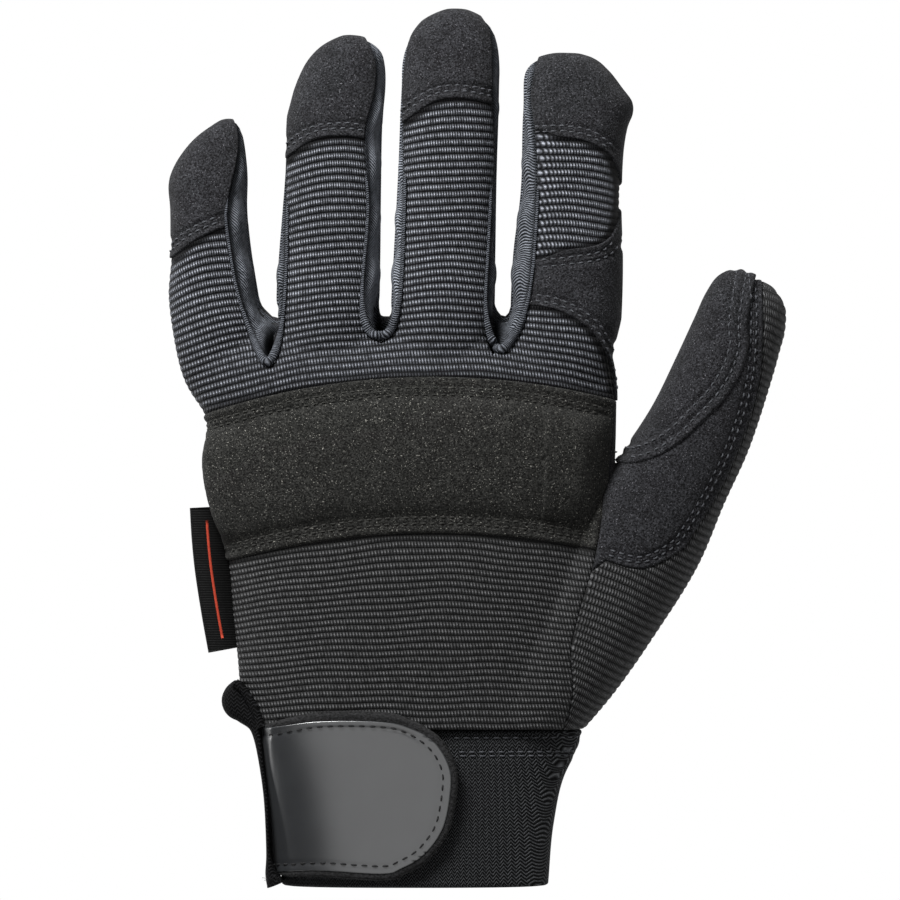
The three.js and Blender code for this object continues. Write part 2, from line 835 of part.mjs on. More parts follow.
const cuffLeft = (row) => row.side * CUFF_TOP_WIDTH - (row.wide * CUFF_TOP_WIDTH) / 2;
const strapWidth = CUFF_LENGTH + STRAP_LAP - STRAP_TO_MOUTH;
const strapCorner = cuffLeft(cuffForm.sections[1]) - STRAP_THICKNESS;
const tabOutline = TAB_OUTLINE.map((row) => [
  strapCorner + row.across * STRAP_REACH,
  STRAP_LAP - row.down * strapWidth,
]);
const strapTop = SEAM_GAP + STRAP_THICKNESS;
const wristLayer = (low, high) => wristSkin(high).subtract(wristSkin(low));
const strapLayer = wristLayer(SEAM_GAP, strapTop).subtract(roomForHand).intersect(above);
keep('strap', strapLayer.intersect(prism(widened(tabOutline, STRAP_EDGE))), hookLoop());
const glossTop = strapTop + SEAM_GAP + GLOSS_THICKNESS;
const glossLayer = wristLayer(strapTop + SEAM_GAP, glossTop);
const upperHalf = prism(everywhere, CUFF_HEIGHT / 2);
keep('strap_patch', glossLayer.intersect(upperHalf).intersect(prism(tabOutline)), gloss());

// The knit fold that stands beside the tab and bulges out above it
function foldPoint(row) {
  const y = -row.down * CUFF_LENGTH;
  const onHand = y > 0;
  const section = onHand ? sectionAt(palmForm, y / PALM_LENGTH) : sectionAt(
    { sections: [...cuffForm.sections].reverse() },
    y / CUFF_LENGTH,
  );
  const width = onHand ? palmWidth : CUFF_TOP_WIDTH;
  const side = section.side * width - (section.wide * width) / 2;
  const clear = onHand ? SEAM_GAP : glossTop + 2 * SEAM_GAP;
  return [side - clear - FOLD_THICKNESS / 2 - row.out * FOLD_BULGE, y];
}

const foldMiddle = FOLD_LINE.map(foldPoint);
const foldSide = (offset) => foldMiddle.map(([x, y]) => [x + offset, y]);
const foldOutline = [...foldSide(-FOLD_THICKNESS / 2), ...foldSide(FOLD_THICKNESS / 2).reverse()];
const fold = prism(foldOutline, FOLD_BASE, FOLD_BASE + FOLD_HEIGHT).subtract(roomForHand);
keep('side_fold', fold.subtract(wristSkin(glossTop + SEAM_GAP)), elastic());

// The ribbon label: a folded loop whose open edge is sewn against the hand's outer side
function handSide(distance) {
  const section = sectionAt(palmForm, distance / PALM_LENGTH);
  return (section.side - section.wide / 2) * palmWidth;
}

const labelEnd = LABEL_TO_WRIST + LABEL_LENGTH;
const labelQuad = (left, right, past) => [
  [handSide(LABEL_TO_WRIST) + left, LABEL_TO_WRIST - past],
  [handSide(LABEL_TO_WRIST) + right, LABEL_TO_WRIST - past],
  [handSide(labelEnd) + right, labelEnd + past],
  [handSide(labelEnd) + left, labelEnd + past],
];
const labelBase = PALM_HEIGHT * LABEL_SEAT;
const labelMiddle = labelBase + LABEL_THICKNESS / 2;
const labelWall = (LABEL_THICKNESS - LABEL_SLOT) / 2;
const labelBlock = prism(
  labelQuad(-LABEL_WIDTH, CLOTH_THICKNESS, 0),
  labelBase,
  labelBase + LABEL_THICKNESS,
);
const labelSlot = prism(
  labelQuad(labelWall - LABEL_WIDTH, PAST, PAST),
  labelMiddle - LABEL_SLOT / 2,
  labelMiddle + LABEL_SLOT / 2,
);
keep('side_label', labelBlock.subtract(labelSlot).subtract(roomForHand), ribbon());

// Turns the solids into named meshes
const glove = new THREE.Group();
for (const { name, solid, material } of pieces) {
  const mesh = solid.getMesh();
  const geometry = new THREE.BufferGeometry();
  const corners = new Float32Array(mesh.vertProperties);
  geometry.setAttribute('position', new THREE.BufferAttribute(corners, 3));
  geometry.setIndex(Array.from(mesh.triVerts));
  const piece = new THREE.Mesh(geometry, material);
  piece.name = name;
  glove.add(piece);
}

// The glove stands with the middle of its underside at the origin
const box = new THREE.Box3().setFromObject(glove);
glove.position.set(-(box.min.x + box.max.x) / 2, -(box.min.y + box.max.y) / 2, -box.min.z);

export default glove;
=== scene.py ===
# %% [markdown]
# # A work glove, seen from the back of the hand
#
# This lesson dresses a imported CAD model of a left-hand work glove. The CAD solids say where each
# piece is and how big it is. Here each piece gets its cloth: corded rib fabric, suede, twill,
# woven elastic, a padded band over the knuckles and a glossy patch on the wrist tab.
# We work in millimetres and turn them into Blender's metres only when a mesh is made.

import math

import bpy
import numpy as np
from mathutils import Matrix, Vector
from mathutils.bvhtree import BVHTree


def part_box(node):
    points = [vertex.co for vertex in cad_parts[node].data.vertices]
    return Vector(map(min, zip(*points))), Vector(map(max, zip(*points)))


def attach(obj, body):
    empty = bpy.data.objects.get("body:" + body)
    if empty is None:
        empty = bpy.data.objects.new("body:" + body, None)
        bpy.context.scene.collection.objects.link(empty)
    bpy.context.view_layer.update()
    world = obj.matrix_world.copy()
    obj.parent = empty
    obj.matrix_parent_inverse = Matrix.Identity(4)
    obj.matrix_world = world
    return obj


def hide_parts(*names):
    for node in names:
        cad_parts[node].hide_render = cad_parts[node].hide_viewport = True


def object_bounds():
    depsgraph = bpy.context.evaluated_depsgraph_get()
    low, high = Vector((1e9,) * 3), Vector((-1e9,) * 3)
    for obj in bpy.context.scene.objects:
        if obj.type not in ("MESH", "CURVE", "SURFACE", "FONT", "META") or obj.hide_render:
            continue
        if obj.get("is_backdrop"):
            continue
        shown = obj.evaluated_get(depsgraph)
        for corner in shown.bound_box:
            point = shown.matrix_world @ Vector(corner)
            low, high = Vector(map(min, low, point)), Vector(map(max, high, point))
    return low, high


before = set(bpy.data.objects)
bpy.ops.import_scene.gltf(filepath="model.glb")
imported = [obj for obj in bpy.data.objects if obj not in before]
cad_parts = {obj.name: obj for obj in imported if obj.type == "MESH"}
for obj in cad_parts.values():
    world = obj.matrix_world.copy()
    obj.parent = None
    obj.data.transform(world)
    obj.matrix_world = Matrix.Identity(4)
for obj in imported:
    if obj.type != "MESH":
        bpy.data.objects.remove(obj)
cad_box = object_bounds()
print("CAD box, metres:", [[round(float(x), 4) for x in corner] for corner in cad_box])

# %% [markdown]
# ## Where the hand is
#
# The glove lies palm down, its fingers towards +Y and its thumb towards +X. Every place below is
# measured from the wrist seam and from the middle of the palm, as a glove cutter would do it.
# Both come from the frame: the palm's lowest Y is the wrist seam, and its lowest X is the outer
# side of the little finger, a known distance from the palm's middle.

# %% Places taken from the frame
MM = 0.001
LITTLE_SIDE = 67.85
palm_low, palm_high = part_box("palm")
ORIGIN = np.array([palm_low[0] / MM + LITTLE_SIDE, palm_low[1] / MM, 0.0])
SEAM_HEIGHT = 8.0
FORM_INSET = 0.9
PRESSED = 0.75
print("wrist seam and palm middle in the frame, mm:", ORIGIN.round(2))

# %% [markdown]
# ## The hand under the cloth
#
# A glove maker starts from a hand-shaped board. Ours is a set of tubes, one for the palm, one for
# each finger and one for the thumb. Each row of a table is one section: how far along it is, how
# far its middle is to the side, how wide and how high it is and how far it is off the table, all
# as shares of the form's own length, width and height.

# %% Section tables
LITTLE_ROWS = [
    (-0.3, 0.2, 0.75, 1.05, 0),
    (0, 0.04, 0.95, 1.2, 0),
    (0.15, 0, 1, 1.12, 0),
    (0.3, -0.04, 0.98, 1.03, 0),
    (0.47, -0.04, 0.87, 1, 0),
    (0.66, -0.04, 0.82, 0.98, 0),
    (0.77, -0.03, 0.84, 0.95, 0),
    (0.86, 0.03, 0.7, 0.84, 0.03),
    (0.93, 0.11, 0.5, 0.66, 0.12),
    (0.99, 0.21, 0.2, 0.36, 0.26),
]
RING_ROWS = [
    (-0.25, 0, 0.8, 1.1, 0),
    (0, 0, 0.98, 1.25, 0),
    (0.15, 0, 1.02, 1.15, 0),
    (0.32, 0, 1, 1.04, 0),
    (0.55, 0, 0.95, 1, 0),
    (0.78, 0, 0.92, 0.95, 0),
    (0.87, 0.03, 0.88, 0.86, 0),
    (0.93, 0.08, 0.74, 0.74, 0.05),
    (0.975, 0.13, 0.5, 0.54, 0.14),
    (0.995, 0.13, 0.24, 0.34, 0.24),
]
MIDDLE_ROWS = [
    (-0.25, 0, 0.8, 1.1, 0),
    (0, 0, 0.98, 1.25, 0),
    (0.15, 0, 1.05, 1.15, 0),
    (0.32, 0, 1.03, 1.04, 0),
    (0.55, 0, 1, 1, 0),
    (0.78, 0, 0.99, 0.95, 0),
    (0.87, 0, 0.97, 0.86, 0),
    (0.93, 0.02, 0.84, 0.74, 0.05),
    (0.975, 0.04, 0.56, 0.54, 0.14),
    (0.994, 0.04, 0.26, 0.34, 0.24),
]
INDEX_ROWS = [
    (-0.25, -0.08, 0.8, 1.1, 0),
    (0, -0.01, 1, 1.2, 0),
    (0.15, 0, 1.02, 1.12, 0),
    (0.35, 0, 1.02, 1.04, 0),
    (0.55, 0, 0.94, 1, 0),
    (0.78, 0, 0.97, 0.95, 0),
    (0.84, 0.02, 1.01, 0.9, 0),
    (0.88, -0.03, 0.92, 0.86, 0),
    (0.945, -0.1, 0.72, 0.74, 0.05),
    (0.975, -0.1, 0.5, 0.54, 0.14),
    (0.99, -0.1, 0.26, 0.34, 0.24),
]
THUMB_ROWS = [
    (-0.02, -0.24, 0.84, 1.0, 0),
    (0.11, -0.15, 0.95, 1.06, 0),
    (0.26, -0.07, 1.01, 1.1, 0),
    (0.43, 0.02, 1, 1.1, 0),
    (0.56, 0.09, 0.84, 1.04, 0),
    (0.67, 0.13, 0.77, 0.98, 0),
    (0.79, 0.12, 0.71, 0.9, 0),
    (0.88, 0.1, 0.66, 0.82, 0),
    (0.94, 0.08, 0.61, 0.7, 0.05),
    (0.975, 0.06, 0.5, 0.52, 0.14),
    (0.993, 0.04, 0.32, 0.32, 0.24),
]
PALM_ROWS = [
    (-0.05, 0, 0.83, 0.88, 0),
    (0.03, 0.003, 0.83, 0.89, 0),
    (0.15, 0.016, 0.86, 0.91, 0),
    (0.3, 0.024, 0.9, 0.95, 0),
    (0.48, 0.022, 0.925, 1, 0),
    (0.66, 0.006, 0.97, 1.02, 0),
    (0.83, -0.004, 1, 1.02, 0),
    (0.95, -0.018, 1.03, 0.97, 0),
    (1.02, -0.028, 1.045, 0.86, 0),
    (1.08, -0.033, 1.03, 0.64, 0),
    (1.15, -0.035, 0.98, 0.3, 0),
]

# %% [markdown]
# ## From rows to a smooth surface
#
# Between two rows we want a smooth swelling, not a straight cone. A cubic through the rows gives
# it. A section is a rounded box (a superellipse), pressed flat where it lies on the table. The
# angle theta goes round it: 0 is the thumb's side, 90 degrees is the back of the hand, 180 the
# little finger's side.

# %% Forms and their surface points
def cubic_weights(places, knots):
    """Rows of weights that carry values at the knots to the places along one smooth cubic."""
    places = np.clip(places, knots[0], knots[-1])
    upper = np.clip(np.searchsorted(knots, places, side="right"), 1, len(knots) - 1)
    span = knots[upper] - knots[upper - 1]
    t = (places - knots[upper - 1]) / span
    eye = np.eye(len(knots))
    slopes = np.gradient(eye, knots, axis=0)
    a, b = eye[upper - 1], eye[upper]
    t, span = t[:, None], span[:, None]
    return (
        (2 * t**3 - 3 * t**2 + 1) * a
        + (t**3 - 2 * t**2 + t) * span * slopes[upper - 1]
        + (-2 * t**3 + 3 * t**2) * b
        + (t**3 - t**2) * span * slopes[upper]
    )


def signed_power(value, power):
    return np.sign(value) * np.abs(value) ** power


class Form:
    """One tube of the hand: its root, its lean in degrees, its size and its section rows."""

    def __init__(self, x, y, lean, length, width, height, rows, squareness=2.3):
        self.x, self.y, self.lean = x, y, math.radians(lean)
        self.length, self.width, self.height = length, width, height
        self.rows = np.array(rows, float)
        self.squareness = squareness

    def plan(self, along, side):
        """The plan point so many millimetres along the form and to its side."""
        x = self.x + along * math.sin(self.lean) + side * math.cos(self.lean)
        y = self.y + along * math.cos(self.lean) - side * math.sin(self.lean)
        return np.stack([x, y], -1)

    def local(self, x, y):
        """Shares of length and width for a plan point: the inverse of plan."""
        dx, dy = x - self.x, y - self.y
        along = dx * math.sin(self.lean) + dy * math.cos(self.lean)
        side = dx * math.cos(self.lean) - dy * math.sin(self.lean)
        return along / self.length, side / self.width

    def section(self, along):
        """Middle, half width, height and lift in millimetres at shares of the length."""
        flat = np.ravel(np.asarray(along, float))
        got = cubic_weights(flat, self.rows[:, 0]) @ self.rows[:, 1:]
        got = got.reshape(np.shape(along) + (4,))
        return (
            got[..., 0] * self.width,
            got[..., 1] * self.width / 2 - FORM_INSET,
            got[..., 2] * self.height - FORM_INSET,
            got[..., 3] * self.height,
        )

    def point(self, along, theta):
        """Surface points at shares of the length and angles round the section."""
        along, theta = np.broadcast_arrays(np.asarray(along, float), np.asarray(theta, float))
        middle, half, high, lift = self.section(along)
        across = signed_power(np.cos(theta), 2 / self.squareness) * half
        up = np.maximum(signed_power(np.sin(theta), 2 / self.squareness), -PRESSED)
        plan = self.plan(along * self.length, middle + across)
        z = lift + (up + PRESSED) / (1 + PRESSED) * high
        return np.concatenate([plan, z[..., None]], -1)


PALM_LENGTH, PALM_WIDTH, PALM_HEIGHT = 103.0, 118.0, 32.0
palm = Form(0, 0, 0, PALM_LENGTH, PALM_WIDTH, PALM_HEIGHT, PALM_ROWS, 2.6)
little = Form(-54.2, PALM_LENGTH, -2.5, 70, 26.2, 19, LITTLE_ROWS)
ring = Form(-24.4, PALM_LENGTH, 2.6, 94, 29.4, 21, RING_ROWS)
middle = Form(8.75, PALM_LENGTH, 2, 101.5, 28.5, 22, MIDDLE_ROWS)
index = Form(43.5, PALM_LENGTH, 2.9, 90, 31, 22, INDEX_ROWS)
thumb = Form(PALM_WIDTH / 2 - 19, 0, 24, 141, 38, 27, THUMB_ROWS)
fingers = [little, ring, middle, index]

# %% [markdown]
# ## One smooth board
#
# The tubes run into each other at the knuckles and at the web of the thumb, and a real hand has
# no creases there. We join them and let the Remesh modifier wrap one even skin of small voxels
# round them all, then smooth it. Every pattern piece is cut from this board, so they all meet.
# A finer copy of the board is kept for the corded fabric, whose ribs need more points.

# %% The board
class Cloth:
    """A bare sheet: points and normals in millimetres, and triangles."""

    def __init__(self, points, normals, triangles):
        self.points, self.normals, self.triangles = points, normals, triangles

    def take(self, triangles):
        """The part of the sheet made of these triangles."""
        used, renamed = np.unique(triangles, return_inverse=True)
        return Cloth(self.points[used], self.normals[used], renamed.reshape(-1, 3))


def tube(form, rows, sides):
    """Points and four-sided faces of a closed tube along a form."""
    along = np.linspace(form.rows[0, 0], form.rows[-1, 0], rows)
    theta = np.linspace(0, 2 * math.pi, sides, endpoint=False)
    points = form.point(along[:, None], theta[None, :]).reshape(-1, 3)
    here = np.arange(rows * sides).reshape(rows, sides)
    right = np.roll(here, -1, axis=1)
    quads = np.stack([here[:-1], right[:-1], right[1:], here[1:]], -1).reshape(-1, 4)
    faces = [tuple(quad) for quad in quads.tolist()]
    return points, faces + [tuple(here[0, ::-1].tolist()), tuple(here[-1].tolist())]


def new_object(name, points, faces):
    """A Blender object from points in millimetres, moved to where the frame has the glove."""
    mesh = bpy.data.meshes.new(name)
    mesh.from_pydata(((points + ORIGIN) * MM).tolist(), [], faces)
    thing = bpy.data.objects.new(name, mesh)
    bpy.context.scene.collection.objects.link(thing)
    return thing


def read_cloth(thing):
    """The sheet an object shows, modifiers included."""
    shown = thing.evaluated_get(bpy.context.evaluated_depsgraph_get())
    mesh = shown.to_mesh()
    mesh.calc_loop_triangles()
    points = np.empty(len(mesh.vertices) * 3, np.float64)
    normals = np.empty(len(mesh.vertices) * 3, np.float64)
    triangles = np.empty(len(mesh.loop_triangles) * 3, np.int64)
    mesh.vertices.foreach_get("co", points)
    mesh.vertices.foreach_get("normal", normals)
    mesh.loop_triangles.foreach_get("vertices", triangles)
    shown.to_mesh_clear()
    return Cloth(points.reshape(-1, 3) / MM - ORIGIN, normals.reshape(-1, 3), triangles.reshape(-1, 3))


def vertex_normals(points, triangles):
    a, b, c = (points[triangles[:, corner]] for corner in range(3))
    across = np.cross(b - a, c - a)
    normals = np.zeros_like(points)
    for corner in range(3):
        np.add.at(normals, triangles[:, corner], across)
    return normals / np.maximum(np.linalg.norm(normals, axis=1, keepdims=True), 1e-9)


def press_between_fingers(points, normals):
    """Sinks the board where two neighbouring fingers squeeze the strip between them."""
    x, y, z = points.T
    sink = np.zeros(len(points))
    for (pit_x, pit_y, wide, long, deep) in PITS:
        away = ((x - pit_x) / wide) ** 2 + ((y - pit_y) / long) ** 2
        sink = np.maximum(sink, deep * np.exp(-away) * np.clip((z - 8) / 4, 0, 1))
    for (dent_x, dent_y, wide, long, deep, (right, up)) in DENTS:
        away = ((x - dent_x) / wide) ** 2 + ((y - dent_y) / long) ** 2
        facing = np.clip(right * normals[:, 0] + up * normals[:, 1], 0, 1)
        sink = np.maximum(sink, deep * np.exp(-away) * facing)
    return points - normals * sink[:, None]


def make_board(forms, voxel, smoothings, finer):
    """Wraps one skin round the forms and returns it as a sheet."""
    points, faces = [], []
    for form in forms:
        start = sum(len(part) for part in points)
        more_points, more_faces = tube(form, 90, 64)
        points.append(more_points)
        faces += [tuple(start + corner for corner in face) for face in more_faces]
    board = new_object("board", np.concatenate(points), faces)
    remesh = board.modifiers.new("wrap", "REMESH")
    remesh.mode = "VOXEL"
    remesh.voxel_size = voxel * MM
    smooth = board.modifiers.new("smooth", "SMOOTH")
    smooth.factor, smooth.iterations = 0.5, smoothings
    if finer:
        board.modifiers.new("finer", "SUBSURF").levels = 1
    sheet = read_cloth(board)
    bpy.data.objects.remove(board)
    points = press_between_fingers(sheet.points, sheet.normals)
    return Cloth(points, vertex_normals(points, sheet.triangles), sheet.triangles)


# Where the fingers part
CROTCHES = [(-40.1, 103.0), (-7.6, 110.5), (25.5, 106.6)]
# The pits behind the crotches: place, width, length and depth
PITS = [(-39.0, 108.6, 1.8, 4.0, 9), (-8.0, 115.6, 1.7, 4.0, 9), (23.9, 111.6, 1.8, 3.8, 9)]
# Dents in the outline: place, width, length, depth and the way that the dented side faces
DENTS = [
    (-37.3, 118, 2.6, 5, 6, (0, 1)),
    (-7.0, 119, 2.4, 5, 3, (0, 1)),
    (27.0, 118, 2.4, 5, 2, (0, 1)),
    (-60.0, 88, 7, 8, 2.4, (-1, 0)),
    (-49.5, 1, 8, 7, 3.2, (-1, 0)),
    (60.0, 108, 6, 7, 1.6, (1, 0)),
    (61.0, 145, 6, 30, 0.8, (1, 0)),
    (-33.0, 184, 8, 9, 1.3, (-0.8, 0.6)),
    (44.0, 192, 9, 7, 1.0, (0, 1)),
]
hand = [palm, thumb] + fingers
board = make_board(hand, 0.93, 8, False)
fine_board = make_board(hand, 0.93, 8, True)
print("board triangles:", len(board.triangles), "fine:", len(fine_board.triangles))

# %% [markdown]
# ## Pattern pieces
#
# A glove is cut from flat patterns. We draw each pattern as a closed line seen from above and ask
# of every point of the board how far inside the line it is. Cutting keeps what is inside and
# splits the triangles exactly on the line, so a seam is a clean curve. A Boolean could do the
# same, but this way the distance to the seam is known too, and edges and stitches need it.

# %% Lines and distances
def curve(points, step=1.2, closed=False):
    """A smooth line through the points (Catmull-Rom), with a point at about every step."""
    points = np.asarray(points, float)
    count = len(points)
    ring_of = np.arange(-1, count + 2) if not closed else np.arange(-1, count + 2) % count
    around = points[np.clip(ring_of, 0, count - 1)]
    line = []
    for place in range(count if closed else count - 1):
        a, b, c, d = around[place : place + 4]
        pieces = max(2, int(np.linalg.norm(c - b) / step))
        t = np.linspace(0, 1, pieces, endpoint=False)[:, None]
        line.append(
            b + 0.5 * t * (c - a + t * (2 * a - 5 * b + 4 * c - d + t * (3 * (b - c) + d - a)))
        )
    if not closed:
        line.append(points[-1:])
    return np.concatenate(line)


def segment_distance(spots, line, closed):
    """Distance of each spot to a line, and the side of it that the spot is on (left is above 0)."""
    ends = np.roll(line, -1, axis=0) if closed else line[1:]
    starts = line if closed else line[:-1]
    best = np.full(len(spots), 1e9)
    side = np.zeros(len(spots))
    for begin in range(0, len(spots), 20000):
        part = slice(begin, begin + 20000)
        offset = spots[part, None, :] - starts[None]
        run = (ends - starts)[None]
        t = np.clip((offset * run).sum(-1) / (run**2).sum(-1), 0, 1)
        gap = np.linalg.norm(offset - t[..., None] * run, axis=-1)
        nearest = gap.argmin(1)
        rows = np.arange(len(nearest))
        best[part] = gap[rows, nearest]
        cross = run[..., 0] * offset[..., 1] - run[..., 1] * offset[..., 0]
        side[part] = cross[rows, nearest]
    return best, side


def inside(spots, outline):
    """How far each spot lies inside a closed plan outline, below zero outside it."""
    outline = np.asarray(outline, float)
    spots = spots[:, :2]
    low, high = outline.min(0) - 6, outline.max(0) + 6
    near = ((spots > low) & (spots < high)).all(1)
    depth = np.full(len(spots), -6.0)
    chosen = spots[near]
    gap, _ = segment_distance(chosen, outline, True)
    ends = np.roll(outline, -1, axis=0)
    crossings = np.zeros(len(chosen), bool)
    for (x0, y0), (x1, y1) in zip(outline, ends):
        if y0 != y1:
            between = (chosen[:, 1] > min(y0, y1)) & (chosen[:, 1] <= max(y0, y1))
            x = x0 + (chosen[:, 1] - y0) / (y1 - y0) * (x1 - x0)
            crossings ^= between & (chosen[:, 0] < x)
    depth[near] = np.where(crossings, gap, -gap)
    return depth


def cut(cloth, depth, keep_rest=False):
    """Keeps the cloth where depth is above zero, with its triangles split on the zero line."""
    if not keep_rest:
        wanted = cloth.triangles[(depth[cloth.triangles] > 0).any(1)]
        depth = depth[np.unique(wanted)]
        cloth = cloth.take(wanted)
    points, normals = cloth.points.copy(), cloth.normals.copy()
    depth, corners = depth.copy(), cloth.triangles
    mixed = corners[(depth[corners] > 0).any(1) & (depth[corners] < 0).any(1)]
    sides = np.sort(np.vstack([mixed[:, [0, 1]], mixed[:, [1, 2]], mixed[:, [2, 0]]]), axis=1)
    sides = np.unique(sides, axis=0)

    def crossed():
        a, b = sides[depth[sides[:, 0]] * depth[sides[:, 1]] < 0].T
        return a, b, depth[a] / (depth[a] - depth[b])

    a, b, t = crossed()
    for near, far, share in ((a, b, t), (b, a, 1 - t)):
        close = share < 0.22
        moved = near[close]
        points[moved] += share[close, None] * (points[far[close]] - points[moved])
        depth[moved] = 0
    a, b, t = crossed()
    t = t[:, None]
    count = len(points)
    key = a * count + b
    points = np.vstack([points, points[a] + t * (points[b] - points[a])])
    normals = np.vstack([normals, normals[a] + t * (normals[b] - normals[a])])

    def between(i, j):
        return count + np.searchsorted(key, np.minimum(i, j) * count + np.maximum(i, j))

    sign = np.sign(depth).astype(int)
    above, below = (sign[corners] > 0).any(1), (sign[corners] < 0).any(1)
    kept, rest = [corners[above & ~below]], [corners[~above]]
    mixed = corners[above & below]
    for turn in range(3):
        turned = np.roll(mixed, -turn, axis=1)
        first, second, third = sign[turned].T
        for odd in (1, -1):
            i, j, k = turned[(first == odd) & (second == -odd) & (third == -odd)].T
            ij, ik = between(i, j), between(i, k)
            tip = [np.stack([i, ij, ik], 1)]
            foot = [np.stack([ij, j, k], 1), np.stack([ij, k, ik], 1)]
            kept += tip if odd > 0 else foot
            rest += foot if odd > 0 else tip
            i, j, k = turned[(first == 0) & (second == odd) & (third == -odd)].T
            jk = between(j, k)
            halves = [np.stack([i, j, jk], 1)], [np.stack([i, jk, k], 1)]
            kept += halves[0] if odd > 0 else halves[1]
            rest += halves[1] if odd > 0 else halves[0]
    if keep_rest:
        kept += rest
    length = np.maximum(np.linalg.norm(normals, axis=1, keepdims=True), 1e-9)
    return Cloth(points, normals / length, corners).take(np.concatenate(kept))

# %% [markdown]
# ## Finishes
#
# A finish is a small graph of nodes. Black cloth is hard to show: almost all that the eye gets is
# relief and nap, so each finish has a height that feeds a Bump node and a colour that is darker
# in the hollows, which is painted shade. Everything is measured in metres on the object itself,
# or read from values that we store on the mesh, so the finish stays with the cloth from every side.

# %% Wiring a finish
class Finish:
    """A material with short words for wiring its nodes."""

    def __init__(self, name, roughness, specular=0.2, sheen=0.0):
        self.material = bpy.data.materials.new(name)
        self.material.use_nodes = True
        self.tree = self.material.node_tree
        self.shader = self.tree.nodes["Principled BSDF"]
        self.shader.inputs["Roughness"].default_value = roughness
        self.shader.inputs["Specular IOR Level"].default_value = specular
        self.shader.inputs["Sheen Weight"].default_value = sheen
        self.shader.inputs["Sheen Roughness"].default_value = 0.6
        self.place = self.node("ShaderNodeTexCoord").outputs["Object"]

    def node(self, kind, values=(), **settings):
        node = self.tree.nodes.new(kind)
        for setting, value in settings.items():
            setattr(node, setting, value)
        for socket, value in dict(values).items():
            if isinstance(value, bpy.types.NodeSocket):
                self.tree.links.new(value, node.inputs[socket])
            else:
                node.inputs[socket].default_value = value
        return node

    def math(self, operation, *values, clamp=False):
        numbered = dict(enumerate(values))
        return self.node("ShaderNodeMath", numbered, operation=operation, use_clamp=clamp).outputs[0]

    def stored(self, field):
        return self.node("ShaderNodeAttribute", attribute_name=field).outputs["Fac"]

    def noise(self, size_mm, detail=2.0, roughness=0.5):
        values = {"Vector": self.place, "Scale": 1000 / size_mm, "Detail": detail, "Roughness": roughness}
        return self.node("ShaderNodeTexNoise", values).outputs["Fac"]

    def range(self, value, low, high, to_low=0.0, to_high=1.0):
        values = {0: value, 1: low, 2: high, 3: to_low, 4: to_high}
        return self.node("ShaderNodeMapRange", values, clamp=True).outputs[0]

    def ridge(self, value):
        """0, up to 1 half way, and back to 0 over each whole step of a value."""
        step = self.math("MULTIPLY_ADD", self.math("FRACT", value), 2.0, -1.0)
        return self.math("SUBTRACT", 1.0, self.math("ABSOLUTE", step))

    def mix(self, share, dark, light):
        values = {0: share, 6: (*dark, 1) if isinstance(dark, tuple) else dark, 7: (*light, 1)}
        return self.node("ShaderNodeMix", values, data_type="RGBA").outputs[2]

    def wear(self, colour, height, depth_mm):
        """Puts a colour and a relief so deep on the shader and gives the material back."""
        if isinstance(colour, tuple):
            self.shader.inputs["Base Color"].default_value = (*colour, 1)
        else:
            self.tree.links.new(colour, self.shader.inputs["Base Color"])
        bump = self.node("ShaderNodeBump", {"Height": height, "Distance": depth_mm * MM, "Strength": 1.0})
        self.tree.links.new(bump.outputs["Normal"], self.shader.inputs["Normal"])
        return self.material


# %% [markdown]
# Suede is split leather with a short nap. The nap catches light in soft patches, and single fibres
# show as bright specks. The pad over the knuckles is the same leather, a little warmer and dustier.

# %% Suede
def suede_finish(name, dark, light, specks):
    finish = Finish(name, 0.95, 0.1, 0.03)
    nap = finish.noise(5, 4, 0.65)
    grain = finish.noise(0.55, 3, 0.6)
    fibres = finish.noise(0.42, 1, 0.5)
    speck = finish.range(fibres, 0.66, 0.76)
    shade = finish.math("MULTIPLY", finish.range(nap, 0.3, 0.7, 0.4, 1), finish.range(grain, 0.4, 0.64))
    colour = finish.mix(shade, dark, light)
    colour = finish.mix(speck, colour, specks)
    return finish.wear(colour, finish.math("ADD", grain, nap), 0.45)


suede = suede_finish("suede", (0.0045, 0.0045, 0.005), (0.043, 0.044, 0.049), (0.12, 0.12, 0.13))
pad_suede = suede_finish("pad_suede", (0.0045, 0.0045, 0.004), (0.043, 0.043, 0.040), (0.24, 0.235, 0.21))

# %% [markdown]
# The stretch fabric is a corded rib: thick cords lie side by side across the hand, each wrapped in
# slanting loops of yarn. We store on the mesh which cord a point is on and how far along the cord
# it is. The finish turns the first into a round cord with a dark groove, and both into loops. The
# dark groove and the dark gaps between the loops are painted shade, and a third stored value
# darkens or lightens the colour: painted shade and painted light.

# %% Corded fabric
# Painted shade: the colour is darker in the grooves between cords and in the gaps between loops, and the
# stored third value scales it as painted shade and painted light.
def cord_finish(name, dark, light, loop_mm, narrow):
    finish = Finish(name, 0.75, 0.1, 0.02)
    cord = finish.stored("cord")
    along = finish.stored("along_cord")
    crest = finish.ridge(cord)
    round_top = finish.math("POWER", crest, narrow)
    lean = finish.math("MULTIPLY", cord, 0.42)
    slanting = finish.math("ADD", lean, finish.math("DIVIDE", along, loop_mm))
    loop = finish.ridge(slanting)
    yarn = finish.math("MULTIPLY", round_top, finish.range(loop, 0.1, 0.7, 0.32, 1))
    uneven = finish.range(finish.noise(1.3, 3, 0.6), 0.32, 0.68, 0.4, 1.4)
    shade = finish.math("MULTIPLY", finish.math("POWER", yarn, 2.4), uneven, clamp=True)
    shade = finish.math("MULTIPLY", shade, finish.stored("painted_light"))
    return finish.wear(finish.mix(shade, dark, light), yarn, 0.75)


finger_cord = cord_finish("finger_cord", (0.001, 0.001, 0.0015), (0.335, 0.352, 0.397), 0.86, 0.62)
palm_cord = cord_finish("back_cord", (0.008, 0.008, 0.008), (0.125, 0.126, 0.129), 0.9, 0.4)
